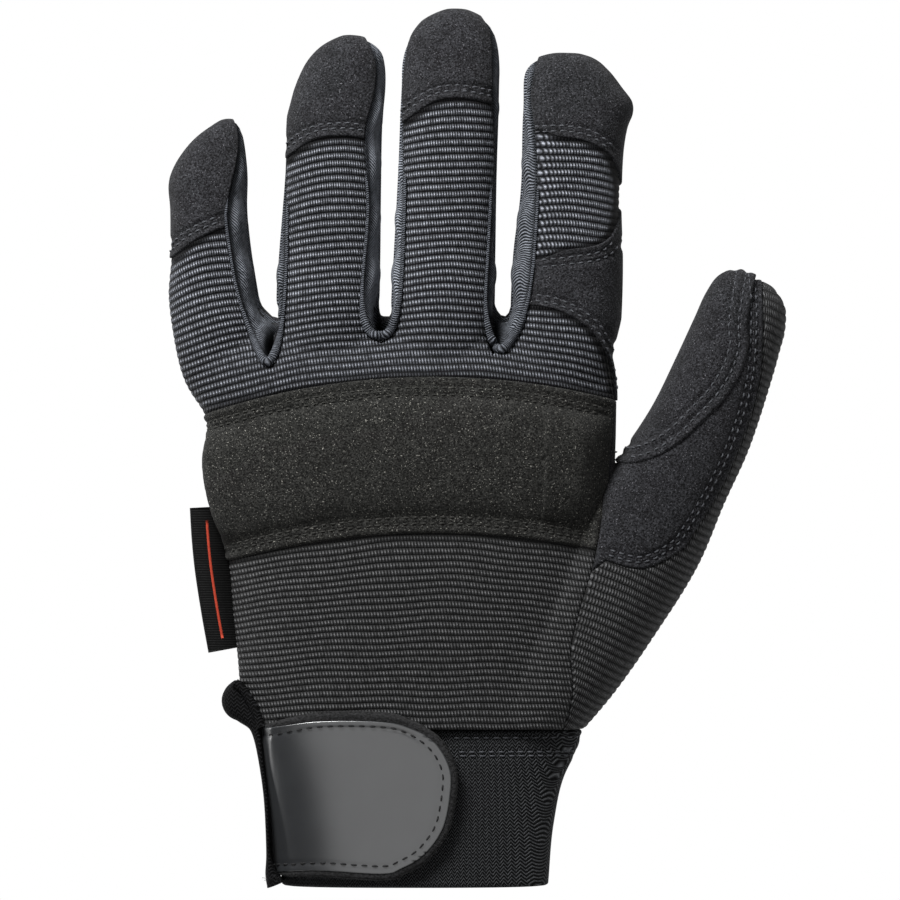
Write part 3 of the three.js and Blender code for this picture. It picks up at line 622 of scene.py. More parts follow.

# %% [markdown]
# Twill and woven elastic are flat weaves with slanting ridges. The strips between the fingers
# reuse the stored values, so that their ridges run across the strip. The elastic's ridges turn
# back and forth like a herringbone, one narrow stripe after another.

# %% Twill, elastic, hook and loop, gloss and ribbon
# Painted shade: the hollows between the ridges are darker in colour.
def weave_finish(name, dark, light, ridge_mm, slant, stripe_mm, depth_mm, roughness=0.8):
    finish = Finish(name, roughness, 0.06)
    x, y, z = finish.node("ShaderNodeSeparateXYZ", {0: finish.place}).outputs
    round_it = finish.math("ADD", x, z)
    zigzag = finish.ridge(finish.math("DIVIDE", round_it, stripe_mm * MM))
    lean = finish.math("MULTIPLY", zigzag, slant * stripe_mm * MM)
    ridge = finish.ridge(finish.math("DIVIDE", finish.math("ADD", y, lean), ridge_mm * MM))
    uneven = finish.range(finish.noise(1.2, 2, 0.6), 0.3, 0.7, 0.6, 1)
    shade = finish.math("MULTIPLY", finish.math("POWER", ridge, 2.6), uneven)
    return finish.wear(finish.mix(shade, dark, light), shade, depth_mm)


# Painted shade: the hollows between the ridges are darker, and the stored third value scales the colour
# as painted shade and painted light.
def strip_finish(name, dark, light):
    finish = Finish(name, 0.75, 0.06)
    lean = finish.math("MULTIPLY", finish.stored("along_cord"), 0.5)
    ridge = finish.ridge(finish.math("ADD", lean, finish.stored("cord")))
    uneven = finish.range(finish.noise(1.4, 2, 0.6), 0.3, 0.7, 0.5, 1.2)
    shade = finish.math("MULTIPLY", finish.math("POWER", ridge, 1.5), uneven, clamp=True)
    shade = finish.math("MULTIPLY", shade, finish.stored("painted_light"))
    return finish.wear(finish.mix(shade, dark, light), ridge, 0.35)


def plain_finish(name, dark, light, size_mm, depth_mm, roughness, specular=0.2):
    finish = Finish(name, roughness, specular, 0.02)
    grain = finish.noise(size_mm, 3, 0.65)
    colour = finish.mix(finish.range(grain, 0.3, 0.7), dark, light)
    return finish.wear(colour, grain, depth_mm)


twill = strip_finish("twill", (0.002, 0.0025, 0.003), (0.28, 0.30, 0.34))
welt_twill = strip_finish("welt_twill", (0.003, 0.003, 0.004), (0.20, 0.215, 0.245))
elastic = weave_finish("elastic", (0.001, 0.001, 0.001), (0.155, 0.161, 0.170), 1.05, 0.8, 1.6, 0.5)
knit = weave_finish("knit_edge", (0.002, 0.002, 0.002), (0.026, 0.026, 0.028), 1.1, 0.5, 2.0, 0.3)
hook_loop = plain_finish("hook_loop", (0.003, 0.003, 0.003), (0.03, 0.03, 0.031), 0.7, 0.5, 0.98)
gloss = plain_finish("gloss_patch", (0.018, 0.019, 0.021), (0.024, 0.026, 0.028), 14, 0.01, 0.3, 0.8)
gloss.node_tree.nodes["Principled BSDF"].inputs["IOR"].default_value = 1.8
ribbon = weave_finish("ribbon", (0.003, 0.003, 0.003), (0.016, 0.016, 0.016), 0.7, 0.0, 3.0, 0.08, 0.6)
pinstripe = plain_finish("pinstripe", (0.32, 0.03, 0.014), (0.42, 0.05, 0.022), 0.8, 0.05, 0.7)
pad_thread = plain_finish("pad_thread", (0.006, 0.006, 0.005), (0.05, 0.05, 0.045), 0.5, 0.1, 0.8)
thread = plain_finish("thread", (0.02, 0.021, 0.024), (0.10, 0.104, 0.115), 0.5, 0.1, 0.8)

# %% [markdown]
# ## From a sheet to real cloth
#
# Cut cloth has thickness and its edges are turned or rolled. Each sheet becomes a thin closed
# skin: the under side sits a little over the board, the upper side rises over the first part of
# a millimetre inside the seam as a quarter of an ellipse does. Extra cuts just inside the edge
# give that curve points to bend at.

# %% Thickness, edges and ribs
PITCH = 2.07
RIB_RISE = 0.34
ROLL = 0.9
dressed = []


def surface_depth(cloth, depth, slope_limit=0.35):
    """Plan distances inside a line turned into distances over the sloping cloth."""
    slope = np.clip(cloth.normals[:, 2], slope_limit, 1)
    return depth / slope


def raised(cloth, depth_of, low, high, roll=ROLL, relief=None, lined=False):
    """A skin over the cloth, rolled down at its edges to low, and closed below if it is lined."""
    for share in (1.0, 0.55, 0.2):
        cloth = cut(cloth, depth_of(cloth) - roll * share, keep_rest=True)
    depth = np.maximum(depth_of(cloth), 0)
    bend = 1 - np.clip(depth / roll, 0, 1)
    rise = np.sqrt(np.clip(1 - bend**2, 0, 1)) * 0.8 + 0.2
    top = low + (high - low) * rise
    if relief is not None:
        top = top + relief(cloth, depth) * np.clip(depth / roll, 0, 1)
    count = len(cloth.points)
    upper = cloth.points + cloth.normals * top[:, None]
    lower = cloth.points + cloth.normals * low
    triangles = cloth.triangles
    edges = np.vstack([triangles[:, [0, 1]], triangles[:, [1, 2]], triangles[:, [2, 0]]])
    names = edges[:, 0] * count + edges[:, 1]
    rim = edges[~np.isin(edges[:, 1] * count + edges[:, 0], names)]
    a, b = rim.T
    wall = np.vstack([np.stack([a, a + count, b + count], 1), np.stack([a, b + count, b], 1)])
    if lined:
        return np.vstack([upper, lower]), np.vstack([triangles, triangles[:, ::-1] + count, wall])
    foot = np.unique(rim)
    wall = np.where(wall < count, wall, count + np.searchsorted(foot, wall - count))
    return np.vstack([upper, lower[foot]]), np.vstack([triangles, wall])


def show(name, skin, material, nodes=(), cords=None):
    """Makes a smooth-shaded piece in its finish, in the place of the CAD nodes it stands for."""
    points, faces = skin
    thing = new_object(name, points, faces.tolist())
    thing.data.shade_smooth()
    thing.data.materials.append(material)
    if cords is not None:
        for field, values in zip(("cord", "along_cord", "painted_light"), cords(points)):
            layer = thing.data.attributes.new(field, "FLOAT", "POINT")
            layer.data.foreach_set("value", values.astype(np.float32))
    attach(thing, "root")
    if nodes:
        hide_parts(*nodes)
    dressed.append(skin)
    print(f"{name}: {len(faces)} triangles")
    return thing


# %% [markdown]
# ## The patterns
#
# These are the outlines of the pieces, drawn on each form in shares of its length and width.

# %% Pattern tables
CAP_EDGES = {
    "little": (little, [(0.45, -0.44), (0.52, -0.16), (0.565, 0.16)]),
    "ring": (ring, [(0.62, -0.46), (0.68, -0.2), (0.697, 0.07), (0.693, 0.3)]),
    "middle": (middle, [(0.675, -0.46), (0.735, -0.16), (0.75, 0.08), (0.74, 0.42)]),
}
LITTLE_INNER = [
    (1.02, 0.22), (0.94, 0.27), (0.83, 0.25), (0.65, 0.14),
    (0.56, 0.13), (0.31, 0.21), (0.06, 0.39),
]
RING_OUTER = [(1.02, 0.02), (0.97, -0.2), (0.88, -0.4), (0.66, -0.43), (0.3, -0.395), (0.06, -0.42)]
RING_INNER = [
    (1.02, 0.16), (0.975, 0.27), (0.92, 0.34), (0.84, 0.34),
    (0.69, 0.27), (0.48, 0.34), (0.15, 0.33),
]
MIDDLE_OUTER = [
    (1.02, -0.12), (0.97, -0.26), (0.9, -0.4),
    (0.75, -0.44), (0.47, -0.4), (0.15, -0.42),
]
MIDDLE_INNER = [
    (1.02, 0.14), (0.975, 0.27), (0.92, 0.36), (0.75, 0.39),
    (0.6, 0.43), (0.37, 0.42), (0.12, 0.42),
]
INDEX_OUTER = [
    (1.02, -0.24), (0.97, -0.34), (0.86, -0.39), (0.73, -0.34),
    (0.6, -0.3), (0.36, -0.3), (0.19, -0.34), (0.09, -0.42),
]
WINDOW = [
    (0.355, -0.4), (0.37, 0), (0.39, 0.25), (0.43, 0.37), (0.51, 0.42), (0.59, 0.41),
    (0.67, 0.32), (0.71, 0.12), (0.72, -0.12), (0.715, -0.4),
]
WRAP = [
    (0.186, -0.6), (0.186, -0.3), (0.176, -0.1), (0.15, 0.08),
    (0.11, 0.24), (0.04, 0.37), (-0.03, 0.44), (-0.1, 0.46),
]
BACK_SEAM = [
    (0, 0.73), (0.1, 0.78), (0.22, 0.775), (0.33, 0.817),
    (0.46, 0.885), (0.6, 0.93), (0.75, 0.945),
]
THUMB_SEAM = [
    (0.355, -0.14), (0.37, 0.13), (0.43, 0.32), (0.48, 0.37),
    (0.62, 0.42), (0.78, 0.38), (0.91, 0.23), (1.03, 0.02),
]
PATCH = [
    (1.03, 0), (0.91, 0.11), (0.87, 0.18), (0.81, 0.21), (0.745, 0.18),
    (0.69, 0.11), (0.635, 0.03), (0.585, -0.09), (0.552, -0.23), (0.54, -0.36),
]
CLEARANCE = [(0.56, -0.43), (0.67, -0.4), (1.1, -0.4)]


def on_form(form, rows):
    """Plan points of rows that are shares of a form's length and width."""
    rows = np.asarray(rows, float)
    return form.plan(rows[:, 0] * form.length, rows[:, 1] * form.width)


def arched(distance, sides):
    """The curved line across the back, so far from the wrist seam at the middle of the hand."""
    sides = np.asarray(sides, float)
    return np.stack([sides * PALM_WIDTH / 2, distance - 8.3 * sides**2 + 1.9 * sides], -1)


PAD_TOP, PAD_BOTTOM = 99.6, 55.6
FAR = 230
fourchettes = {}
seam_curves = {}
sides_of_gaps = [
    ("little_ring", little, LITTLE_INNER, ring, RING_OUTER),
    ("ring_middle", ring, RING_INNER, middle, MIDDLE_OUTER),
    ("middle_index", middle, MIDDLE_INNER, index, INDEX_OUTER),
]
for (name, left, left_rows, right, right_rows), crotch in zip(sides_of_gaps, CROTCHES):
    line = np.vstack([on_form(left, left_rows), [crotch], on_form(right, right_rows)[::-1]])
    line = curve(line)
    seam_curves[name] = line
    ends = [right.plan(right.length + 12, right_rows[0][1] * right.width)]
    ends += [left.plan(left.length + 12, left_rows[0][1] * left.width)]
    fourchettes[name] = np.vstack([line, ends])
caps = {}
for name, (finger, edge) in CAP_EDGES.items():
    line = curve(on_form(finger, [(edge[0][0], -0.62)] + edge + [(edge[-1][0], 0.56)]))
    corners = [finger.plan(finger.length + 12, share * finger.width) for share in (0.56, -0.62)]
    caps[name] = np.vstack([line, corners])
window = curve(on_form(index, WINDOW), closed=True)
wrap_foot = index.plan(-0.1 * index.length, 0.62 * index.width)
wrap = np.vstack([
    curve(on_form(index, WRAP)),
    [wrap_foot],
    [index.plan(index.length + 12, share * index.width) for share in (0.62, -0.6)],
])
back_seam = curve([(side * PALM_WIDTH / 2, along * PALM_LENGTH) for along, side in BACK_SEAM])
thumb_side = np.vstack([
    [(back_seam[0][0], -12)], back_seam, on_form(index, WRAP[-1:]), [wrap_foot],
    [(wrap_foot[0], FAR), (160, FAR), (160, -12)],
])
gusset = np.vstack([
    [thumb.plan(-12, -thumb.width)],
    curve(on_form(thumb, THUMB_SEAM)),
    [thumb.plan(thumb.length + 12, side * thumb.width) for side in (0.02, 1)],
    [thumb.plan(-12, thumb.width)],
])
patch = np.vstack([curve(on_form(thumb, PATCH)), on_form(thumb, CLEARANCE)])
steps = [-1.3, -1, -0.7, -0.4, -0.1, 0.2, 0.5, 0.8, 1, 1.2]
pad = np.vstack([curve(arched(PAD_BOTTOM, steps)), curve(arched(PAD_TOP, steps))[::-1]])
print("patterns ready")

# %% [markdown]
# ## Which way the cords run
#
# On the back of the hand the cords follow the curve of the knuckles. On a finger they lie square
# to the finger and droop a little at its sides. Between the two they bend, so we count the cords
# both ways and go over from one count to the other above the crotches.

# %% Counting cords
def band(points):
    """How far up the back each point is, counted along the curve of the knuckles."""
    side = points[:, 0] * 2 / PALM_WIDTH
    return points[:, 1] + 8.3 * side**2 - 1.9 * side


def smooth_step(value):
    value = np.clip(value, 0, 1)
    return value * value * (3 - 2 * value)


def wander(points):
    """How far the rows stray from true, as stretched cloth does."""
    x, y, _ = points.T
    return 0.28 * np.sin(x / 8.7 + y / 12.1) + 0.16 * np.sin(x / 3.9 - y / 7.3 + 1)


# How far a finger's cords slope across its width, and how far they droop at its sides
CORD_BEND = [(3.0, 2.5), (3.3, 2.0), (2.3, 1.1), (0.5, 1.2)]


def painted_edge_shadow(distance):
    """Painted shadow: how much of the cloth's colour is kept so far from the suede edge that lies over
    it.
    """
    return 0.02 + 0.98 * smooth_step((distance - 0.5) / 1.4)


def finger_cords(points):
    x, y, z = points.T
    across = np.interp(x, [-80, -40.1, -7.6, 25.5, 70], [98, 103, 110.5, 106.6, 104])
    share = smooth_step((y - across) / 22)
    count, place = band(points), x.copy()
    edges = [-200] + [crotch[0] for crotch in CROTCHES] + [200]
    for number, (finger, (tilt, droop)) in enumerate(zip(fingers, CORD_BEND)):
        mine = (x > edges[number]) & (x <= edges[number + 1])
        along, side = finger.local(x[mine], y[mine])
        root = np.array([[finger.x, finger.y, 0.0]])
        square = band(root)[0] + along * finger.length + droop * (2 * side) ** 2 - tilt * side
        turn = np.arctan2(z[mine] - finger.height * 0.45, side * finger.width)
        round_it = finger.x + (math.pi / 2 - turn) * finger.width * 0.5
        count[mine] += share[mine] * (square - count[mine])
        place[mine] += share[mine] * (round_it - place[mine])
    # Painted shade: the cords are darker towards the pad, and darker still in a line beside the edges of
    # the pad, the wrap and the tip caps, as their shadows.
    painted_light = 0.68 + 0.32 * smooth_step((band(points) - PAD_TOP - 6) / 30)
    painted_light *= painted_edge_shadow(band(points) - PAD_TOP)
    for outline in [wrap] + list(caps.values()):
        painted_light *= painted_edge_shadow(-inside(points, outline))
    return (count + wander(points)) / PITCH, place, painted_light


def lower_cords(points):
    side = points[:, 0] * 2 / PALM_WIDTH
    arch = np.clip(points[:, 1] / PAD_BOTTOM, 0, 1)
    count = points[:, 1] + (8.3 * side**2 - 1.9 * side) * (0.15 + 0.85 * arch)
    # Painted shadow: the cords are darker just below the pad's lower edge.
    return (count + wander(points)) / 1.9, points[:, 0], painted_edge_shadow(PAD_BOTTOM - band(points))


def along_form(form, pitch, droop=0.0):
    def cords(points):
        along, side = form.local(points[:, 0], points[:, 1])
        count = along * form.length + droop * (2 * side) ** 2 + wander(points)
        return count / pitch, side * form.width - points[:, 2], np.ones(len(points))

    return cords


def cord_relief(cords, rise=RIB_RISE):
    """Round cords with grooves between them, fading out at the edge of the cloth."""
    def relief(cloth, depth):
        step = cords(cloth.points)[0] % 1
        return rise * (np.sqrt(np.clip(1 - (2 * step - 1) ** 2, 0, 1)) - 0.6)

    return relief


# %% [markdown]
# ## Stitches and the grooves they pull
#
# Double rows of stitches hold the suede down. Thread under tension pulls a groove into leather,
# and that groove is what shows first on black. So the rows are planned before the cloth is
# shaped: the relief sinks along them, and the stitches are laid in afterwards.

# %% Stitch rows
def shift(line, distance):
    """The line moved sideways by a distance, to its left where the distance is above zero."""
    run = np.gradient(line, axis=0)
    run /= np.linalg.norm(run, axis=1, keepdims=True)
    return line + distance * np.stack([-run[:, 1], run[:, 0]], -1)


def rows_beside(line, *distances):
    return [shift(line, distance) for distance in distances]


across_top, across_foot = np.linspace(-1.0, 0.93, 60), np.linspace(-0.86, 0.9, 60)
pad_rows = [arched(PAD_TOP - 2.9, across_top), arched(PAD_TOP - 4.9, across_top)]
pad_rows += [arched(PAD_BOTTOM + 2.8, across_foot), arched(PAD_BOTTOM + 4.6, across_foot)]
cap_rows = {
    name: rows_beside(curve(on_form(finger, edge)), 2.3, 3.8)
    for name, (finger, edge) in CAP_EDGES.items()
}
window_top = curve(on_form(index, [(0.715, -0.36), (0.72, -0.12), (0.71, 0.12), (0.67, 0.3)]))
window_foot = curve(on_form(index, [(0.355, -0.27), (0.37, 0), (0.39, 0.25), (0.43, 0.36)]))
wrap_foot_line = curve(on_form(index, WRAP[1:]))
wrap_rows = rows_beside(window_top, 1.9, 3.4) + rows_beside(window_foot, -2.3, -4.3)
wrap_rows += rows_beside(wrap_foot_line, 1.6, 3.2)
patch_rows = rows_beside(curve(on_form(thumb, PATCH)), -2.6, -5.2)
thumb_rows = rows_beside(curve(on_form(thumb, THUMB_SEAM)), 1.8, 3.3)


def grooves(rows, depth_mm=0.6, width_mm=0.75):
    """Sinks the cloth along the stitch rows."""
    def relief(cloth, depth):
        sink = np.zeros(len(depth))
        for row in rows:
            gap, _ = segment_distance(cloth.points[:, :2], row, False)
            sink = np.minimum(sink, -depth_mm * np.exp(-((gap / width_mm) ** 2)))
        return sink

    return relief


def both(*reliefs):
    return lambda cloth, depth: sum(relief(cloth, depth) for relief in reliefs)


# %% [markdown]
# ## Cutting the pieces of the back
#
# Each piece is cut from the board by its own line, less its neighbours. The corded panels run a
# little way under the suede, as they are sewn, so no gap can open between them.

# %% Lines that cut
def in_line(outline, border=0.0):
    return lambda cloth: surface_depth(cloth, inside(cloth.points, outline)) - border


def out_of(outline, lap=0.0):
    return lambda cloth: lap - surface_depth(cloth, inside(cloth.points, outline))


def over_seam(height=SEAM_HEIGHT + 0.3):
    def depth(cloth):
        steep = np.sqrt(np.clip(1 - cloth.normals[:, 2] ** 2, 0.3, 1))
        return (cloth.points[:, 2] - height) / steep

    return depth


def above_band(distance):
    return lambda cloth: band(cloth.points) - distance


def below_band(distance):
    return lambda cloth: distance - band(cloth.points)


def past_wrist(cloth):
    return cloth.points[:, 1]


def cut_out(sheet, *lines):
    """Cuts a piece by every line in turn. Gives it back with the depth inside its own edge."""
    for line in lines:
        sheet = cut(sheet, line(sheet))
    return sheet, lambda cloth: np.minimum.reduce([line(cloth) for line in lines])


no_gaps = [out_of(line) for line in fourchettes.values()]
lapped_gaps = [out_of(line, 0.5) for line in fourchettes.values()]

# %% [markdown]
# The upper panel covers the knuckles and three fingers, and the lower one runs from the pad to the
# wrist. A window of the same cloth sits in the index finger's suede, and a gusset of it closes the
# thumb's outer side. Modelled cords could be swept one by one, but they would never follow the
# swelling of the fingers. Here the cloth itself is raised and lowered by the cord count.

# %% The corded panels
sheet, depth = cut_out(
    fine_board,
    over_seam(),
    above_band(PAD_TOP - 1.5),
    out_of(thumb_side),
    out_of(wrap, 1.5),
    *lapped_gaps,
    *[out_of(line, 1.5) for line in caps.values()],
)
skin = raised(sheet, depth, 0.05, 0.9, relief=cord_relief(finger_cords))
show("back_panel_upper", skin, finger_cord, ["back_panel_upper"], finger_cords)
sheet, depth = cut_out(
    fine_board, past_wrist, over_seam(), below_band(PAD_BOTTOM + 1.5), out_of(thumb_side)
)
lower_skin = raised(sheet, depth, 0.05, 0.9, relief=cord_relief(lower_cords, 0.22))
show("back_panel_lower", lower_skin, palm_cord, ["back_panel_lower"], lower_cords)
across_index = along_form(index, PITCH, 1.2)


def index_cords(points):
    count, place, painted_light = across_index(points)
    # Painted shadow: the window's cloth is darker close to the suede edge round it.
    return count, place, painted_light * painted_edge_shadow(inside(points, window))


sheet, depth = cut_out(fine_board, in_line(window, -1.5), over_seam(11), *lapped_gaps)
skin = raised(sheet, depth, 0.05, 0.9, relief=cord_relief(index_cords))
show("index_rib_window", skin, finger_cord, ["index_rib_window"], index_cords)
thumb_cords = along_form(thumb, PITCH)
sheet, depth = cut_out(fine_board, past_wrist, in_line(gusset), in_line(thumb_side), over_seam())
skin = raised(sheet, depth, 0.05, 0.9, relief=cord_relief(thumb_cords))
show("thumb_side_gusset", skin, palm_cord, ["thumb_side_gusset"], thumb_cords)

# %% [markdown]
# The strips between the fingers are one U of twill each. A welt of the same twill runs along the
# seam, and behind it the strip sinks in, because the two fingers press it together.

# %% The strips between the fingers
def behind_welt(cloth, depth):
    hollow = -0.7 * smooth_step((depth - 0.8) / 0.9) * smooth_step((4.5 - depth) / 2.5)
    wave = 0.6 * np.sin(cloth.points[:, 1] / 2.5) * smooth_step((depth - 2) / 2)
    return hollow + wave


# Painted light: the strip between ring and middle finger is painted brighter.
PAINTED_LIGHT_GAIN = {"ring_middle": 2.2}


# Painted shade: a strip's colour is darker close to its seam, behind the welt, and almost black in the
# pit behind its crotch.
def strip_cords(line, pit, painted_light_gain):
    def cords(points):
        x, y, z = points.T
        away = ((x - pit[0]) / 3.2) ** 2 + ((y - pit[1]) / 7.5) ** 2
        painted_light = painted_light_gain * (0.15 + 0.85 * smooth_step((inside(points, line) - 0.7) / 1.5))
        return y / 0.85, (x - z) / 0.5, painted_light * (1 - 0.97 * np.exp(-(away**2)))

    return cords


for (name, line), pit in zip(fourchettes.items(), PITS):
    sheet, depth = cut_out(board, in_line(line), over_seam())
    skin = raised(sheet, depth, 0.05, 0.8, relief=behind_welt)
    cords = strip_cords(line, pit, PAINTED_LIGHT_GAIN.get(name, 1.0))
    show(f"fourchette_{name}", skin, twill, [f"fourchette_{name}"], cords)

# %% [markdown]
# ## The suede
#
# The knuckle pad is a pocket with foam in it. Its border is sewn down flat and the foam swells
# quickly behind the second row of stitches. Cloth simulation would find that swelling by itself,
# but the pad is thin, wide and evenly filled, so its profile is written down directly.

# %% Knuckle pad
PAD_BORDER, PAD_PUFF = 6.0, 4.0


def puff(cloth, depth):
    up = band(cloth.points)
    share = np.clip((up - PAD_BOTTOM - PAD_BORDER) / (PAD_TOP - PAD_BOTTOM - 2 * PAD_BORDER), 0, 1)
    swell = np.clip(1 - np.abs(2 * share - 1) ** 3.4, 0, 1) ** 0.8
    right = out_of(thumb_side)(cloth)
    facing_up = smooth_step((cloth.normals[:, 2] - 0.05) / 0.7)
    return PAD_PUFF * swell * smooth_step(right / 11) * facing_up


sheet, depth = cut_out(
    fine_board, over_seam(), above_band(PAD_BOTTOM), below_band(PAD_TOP), out_of(thumb_side)
)
skin = raised(sheet, depth, 0.05, 1.7, relief=both(puff, grooves(pad_rows, 0.5)))
knuckle_pad = show("knuckle_pad", skin, pad_suede, ["knuckle_pad"])

# %% [markdown]
# Suede covers the parts that wear: the fingertips, the sides of the index finger and the thumb.
# Each cap is a curved piece sewn over the end of the corded cloth with two rows of stitches, so
# it is a little thicker than the cloth and its edge is rolled. The stitches pull the suede down,
# which the grooves show.

# %% Suede on the fingers and the thumb
for name, line in caps.items():
    sheet, depth = cut_out(fine_board, in_line(line), over_seam(), *no_gaps)
    skin = raised(sheet, depth, 0.05, 1.6, 0.6, grooves(cap_rows[name]))
    show(f"{name}_tip_cap", skin, suede, [f"{name}_tip_cap"])
sheet, depth = cut_out(fine_board, in_line(wrap), over_seam(), out_of(window), *no_gaps)
skin = raised(sheet, depth, 0.05, 1.6, 0.6, grooves(wrap_rows))
show("index_wrap", skin, suede, ["index_wrap"])
sheet, depth = cut_out(
    fine_board,
    past_wrist,
    in_line(thumb_side),
    over_seam(),
    out_of(gusset),
    out_of(patch, 1.5),
    out_of(wrap),
)
skin = raised(sheet, depth, 0.05, 1.2, relief=grooves(thumb_rows))
show("thumb_back", skin, suede, ["thumb_back"])
sheet, depth = cut_out(fine_board, in_line(patch), over_seam())
skin = raised(sheet, depth, 0.05, 2.1, relief=grooves(patch_rows))
show("thumb_patch", skin, suede, ["thumb_patch"])

# %% [markdown]
# ## The palm
#
# The palm piece is the whole board, open at the wrist, with a wall behind it that leaves the
# glove hollow. Below the side seam it stands out by the thickness of the pieces of the back.

# %% The palm
sheet = make_board(hand, 1.6, 5, False)
sheet = cut(sheet, past_wrist(sheet))


def palm_relief(cloth, depth):
    low = np.clip((SEAM_HEIGHT + 0.6 - cloth.points[:, 2]) / 1.2, 0, 1)
    return FORM_INSET * low * np.clip(1 + cloth.normals[:, 2], 0, 1)


skin = raised(sheet, past_wrist, -0.7, 0.0, relief=palm_relief, lined=True)
show("palm_skin", skin, suede, ["palm", "thumb_palm"])

# %% [markdown]
# ## The wrist
#
# The cuff is a ring of woven elastic, sewn to the hand and open at its mouth. A tab of hook and
# loop lies over it, with a smooth glossy patch on top. The ring is a form of its own, and the
# tab is cut from the same ring, a little further out.

# %% Cuff form
CUFF_LENGTH, CUFF_TOP, CUFF_MOUTH, CUFF_HEIGHT = 45.0, 89.0, 76.0, 26.0
NARROWING = CUFF_MOUTH / CUFF_TOP - 1
CUFF_ROWS = [
    (-1.0, 0.016, 1 + NARROWING, 1, 0),
    (-0.6, 0.02, 1 + NARROWING * 0.8, 1, 0),
    (-0.3, 0.032, 1 + NARROWING * 0.5, 1, 0),
    (-0.12, 0.05, 1 + NARROWING * 0.16, 1, 0),
    (0, 0.055, 1, 1, 0),
    (0.1, 0.06, 1.02, 1.03, 0),
]
cuff_form = Form(0, 0, 0, CUFF_LENGTH, CUFF_TOP, CUFF_HEIGHT, CUFF_ROWS, 2.6)


def ring_sheet(form, rows, sides, start, end):
    """An open sheet round a form between two shares of its length."""
    along = np.linspace(start, end, rows)
    theta = np.linspace(0, 2 * math.pi, sides, endpoint=False)
    points = form.point(along[:, None], theta[None, :]).reshape(-1, 3)
    here = np.arange(rows * sides).reshape(rows, sides)
    right = np.roll(here, -1, axis=1)
    quads = np.stack([here[:-1], here[1:], right[1:], right[:-1]], -1).reshape(-1, 4)
    thing = new_object("sheet", points, quads.tolist())
    sheet = read_cloth(thing)
    bpy.data.objects.remove(thing)
    return sheet


def on_cuff(cloth):
    return np.minimum(cloth.points[:, 1] + CUFF_LENGTH, -0.3 - cloth.points[:, 1])


def level_line(distance, low, high):
    return np.stack([np.linspace(low, high, 60), np.full(60, float(distance))], -1)


cuff_rows = [level_line(-2.4, 12, 50), level_line(-6.4, 13.5, 49), level_line(-7.5, 13.8, 48)]
sheet = ring_sheet(cuff_form, 60, 300, -1, 0.02)
sheet = cut(sheet, on_cuff(sheet))
skin = raised(sheet, on_cuff, -1.1, 0.9, relief=grooves(cuff_rows, 0.25, 0.8), lined=True)
skin[0][:, 2] = np.maximum(skin[0][:, 2], 0)
show("cuff", skin, elastic, ["cuff"])

# %% [markdown]
# The tab is one strap of hook and loop that comes round from the palm's side and ends in a round
# tongue. The patch on it is a smooth sheet, sewn on a little inside the tab's edge. A bent plane
# could make them, but a piece cut from the cuff's own ring lies on it everywhere. Its upper
# corner laps over the lower panel, which is thicker there, so the sheet is lifted over it.

# %% The tab and its glossy patch
STRAP_REACH, STRAP_LAP, STRAP_TO_MOUTH, STRAP_CORNER = 53.3, 3.1, 4.2, -41.8
TAB = [
    (-0.35, 0.06), (0, 0.06), (0.3, 0), (0.64, 0), (0.79, 0.045), (0.92, 0.155), (0.99, 0.3), (1, 0.45),
    (0.96, 0.7), (0.86, 0.875), (0.74, 0.965), (0.64, 1), (0.3, 0.98), (0.07, 1), (-0.35, 1),
]
panel = BVHTree.FromPolygons(lower_skin[0].tolist(), lower_skin[1].tolist())


def height_at(tree, x, y):
    spot, _, _, _ = tree.ray_cast(Vector((x, y, 90)), Vector((0, 0, -1)))
    return spot.z if spot else 0.0


def lifted_over_panel(sheet, clearance):
    """Lifts the end of a sheet that laps over the lower panel, which is thicker than the cuff."""
    tree = BVHTree.FromPolygons(sheet.points.tolist(), sheet.triangles.tolist())
    places = np.linspace(STRAP_CORNER, STRAP_CORNER + STRAP_REACH, 40)
    steps = [height_at(panel, x, 2.0) - height_at(tree, x, 2.0) for x in places]
    steps = np.clip(np.array(steps) - clearance, 0, 6)
    x, y, z = sheet.points.T
    lift = np.interp(x, places, steps) * smooth_step((y + 44) / 50) * smooth_step((z - 8) / 4)
    return Cloth(sheet.points + lift[:, None] * [0, 0, 1.0], sheet.normals, sheet.triangles)


strap_width = CUFF_LENGTH + STRAP_LAP - STRAP_TO_MOUTH
tab = curve([(STRAP_CORNER + a * STRAP_REACH, STRAP_LAP - d * strap_width) for a, d in TAB])
tab_row = shift(tab, -2.2)
tab_row = tab_row[tab_row[:, 0] > STRAP_CORNER + 1.5]
sheet = lifted_over_panel(ring_sheet(cuff_form, 84, 340, -1, 0.12), 1.1)
strap_sheet, depth = cut_out(sheet, in_line(tab, -2.0), over_seam())
skin = raised(strap_sheet, depth, 1.3, 3.9, lined=True)
show("strap", skin, hook_loop, ["strap"])
patch_sheet, depth = cut_out(sheet, in_line(tab), over_seam(13))
skin = raised(patch_sheet, depth, 3.8, 4.2, 0.3, grooves([tab_row], 0.25, 0.6), lined=True)
show("strap_patch", skin, gloss, ["strap_patch"])

# %% [markdown]
# ## Fold and label
#
# Beside the tab the knit edge of the wrist stands up in a fold and bulges out above it. Higher up
# a ribbon label is folded once and caught in the side seam. Both are a small profile drawn along
# a line. The label is bare, with a plain red pinstripe.

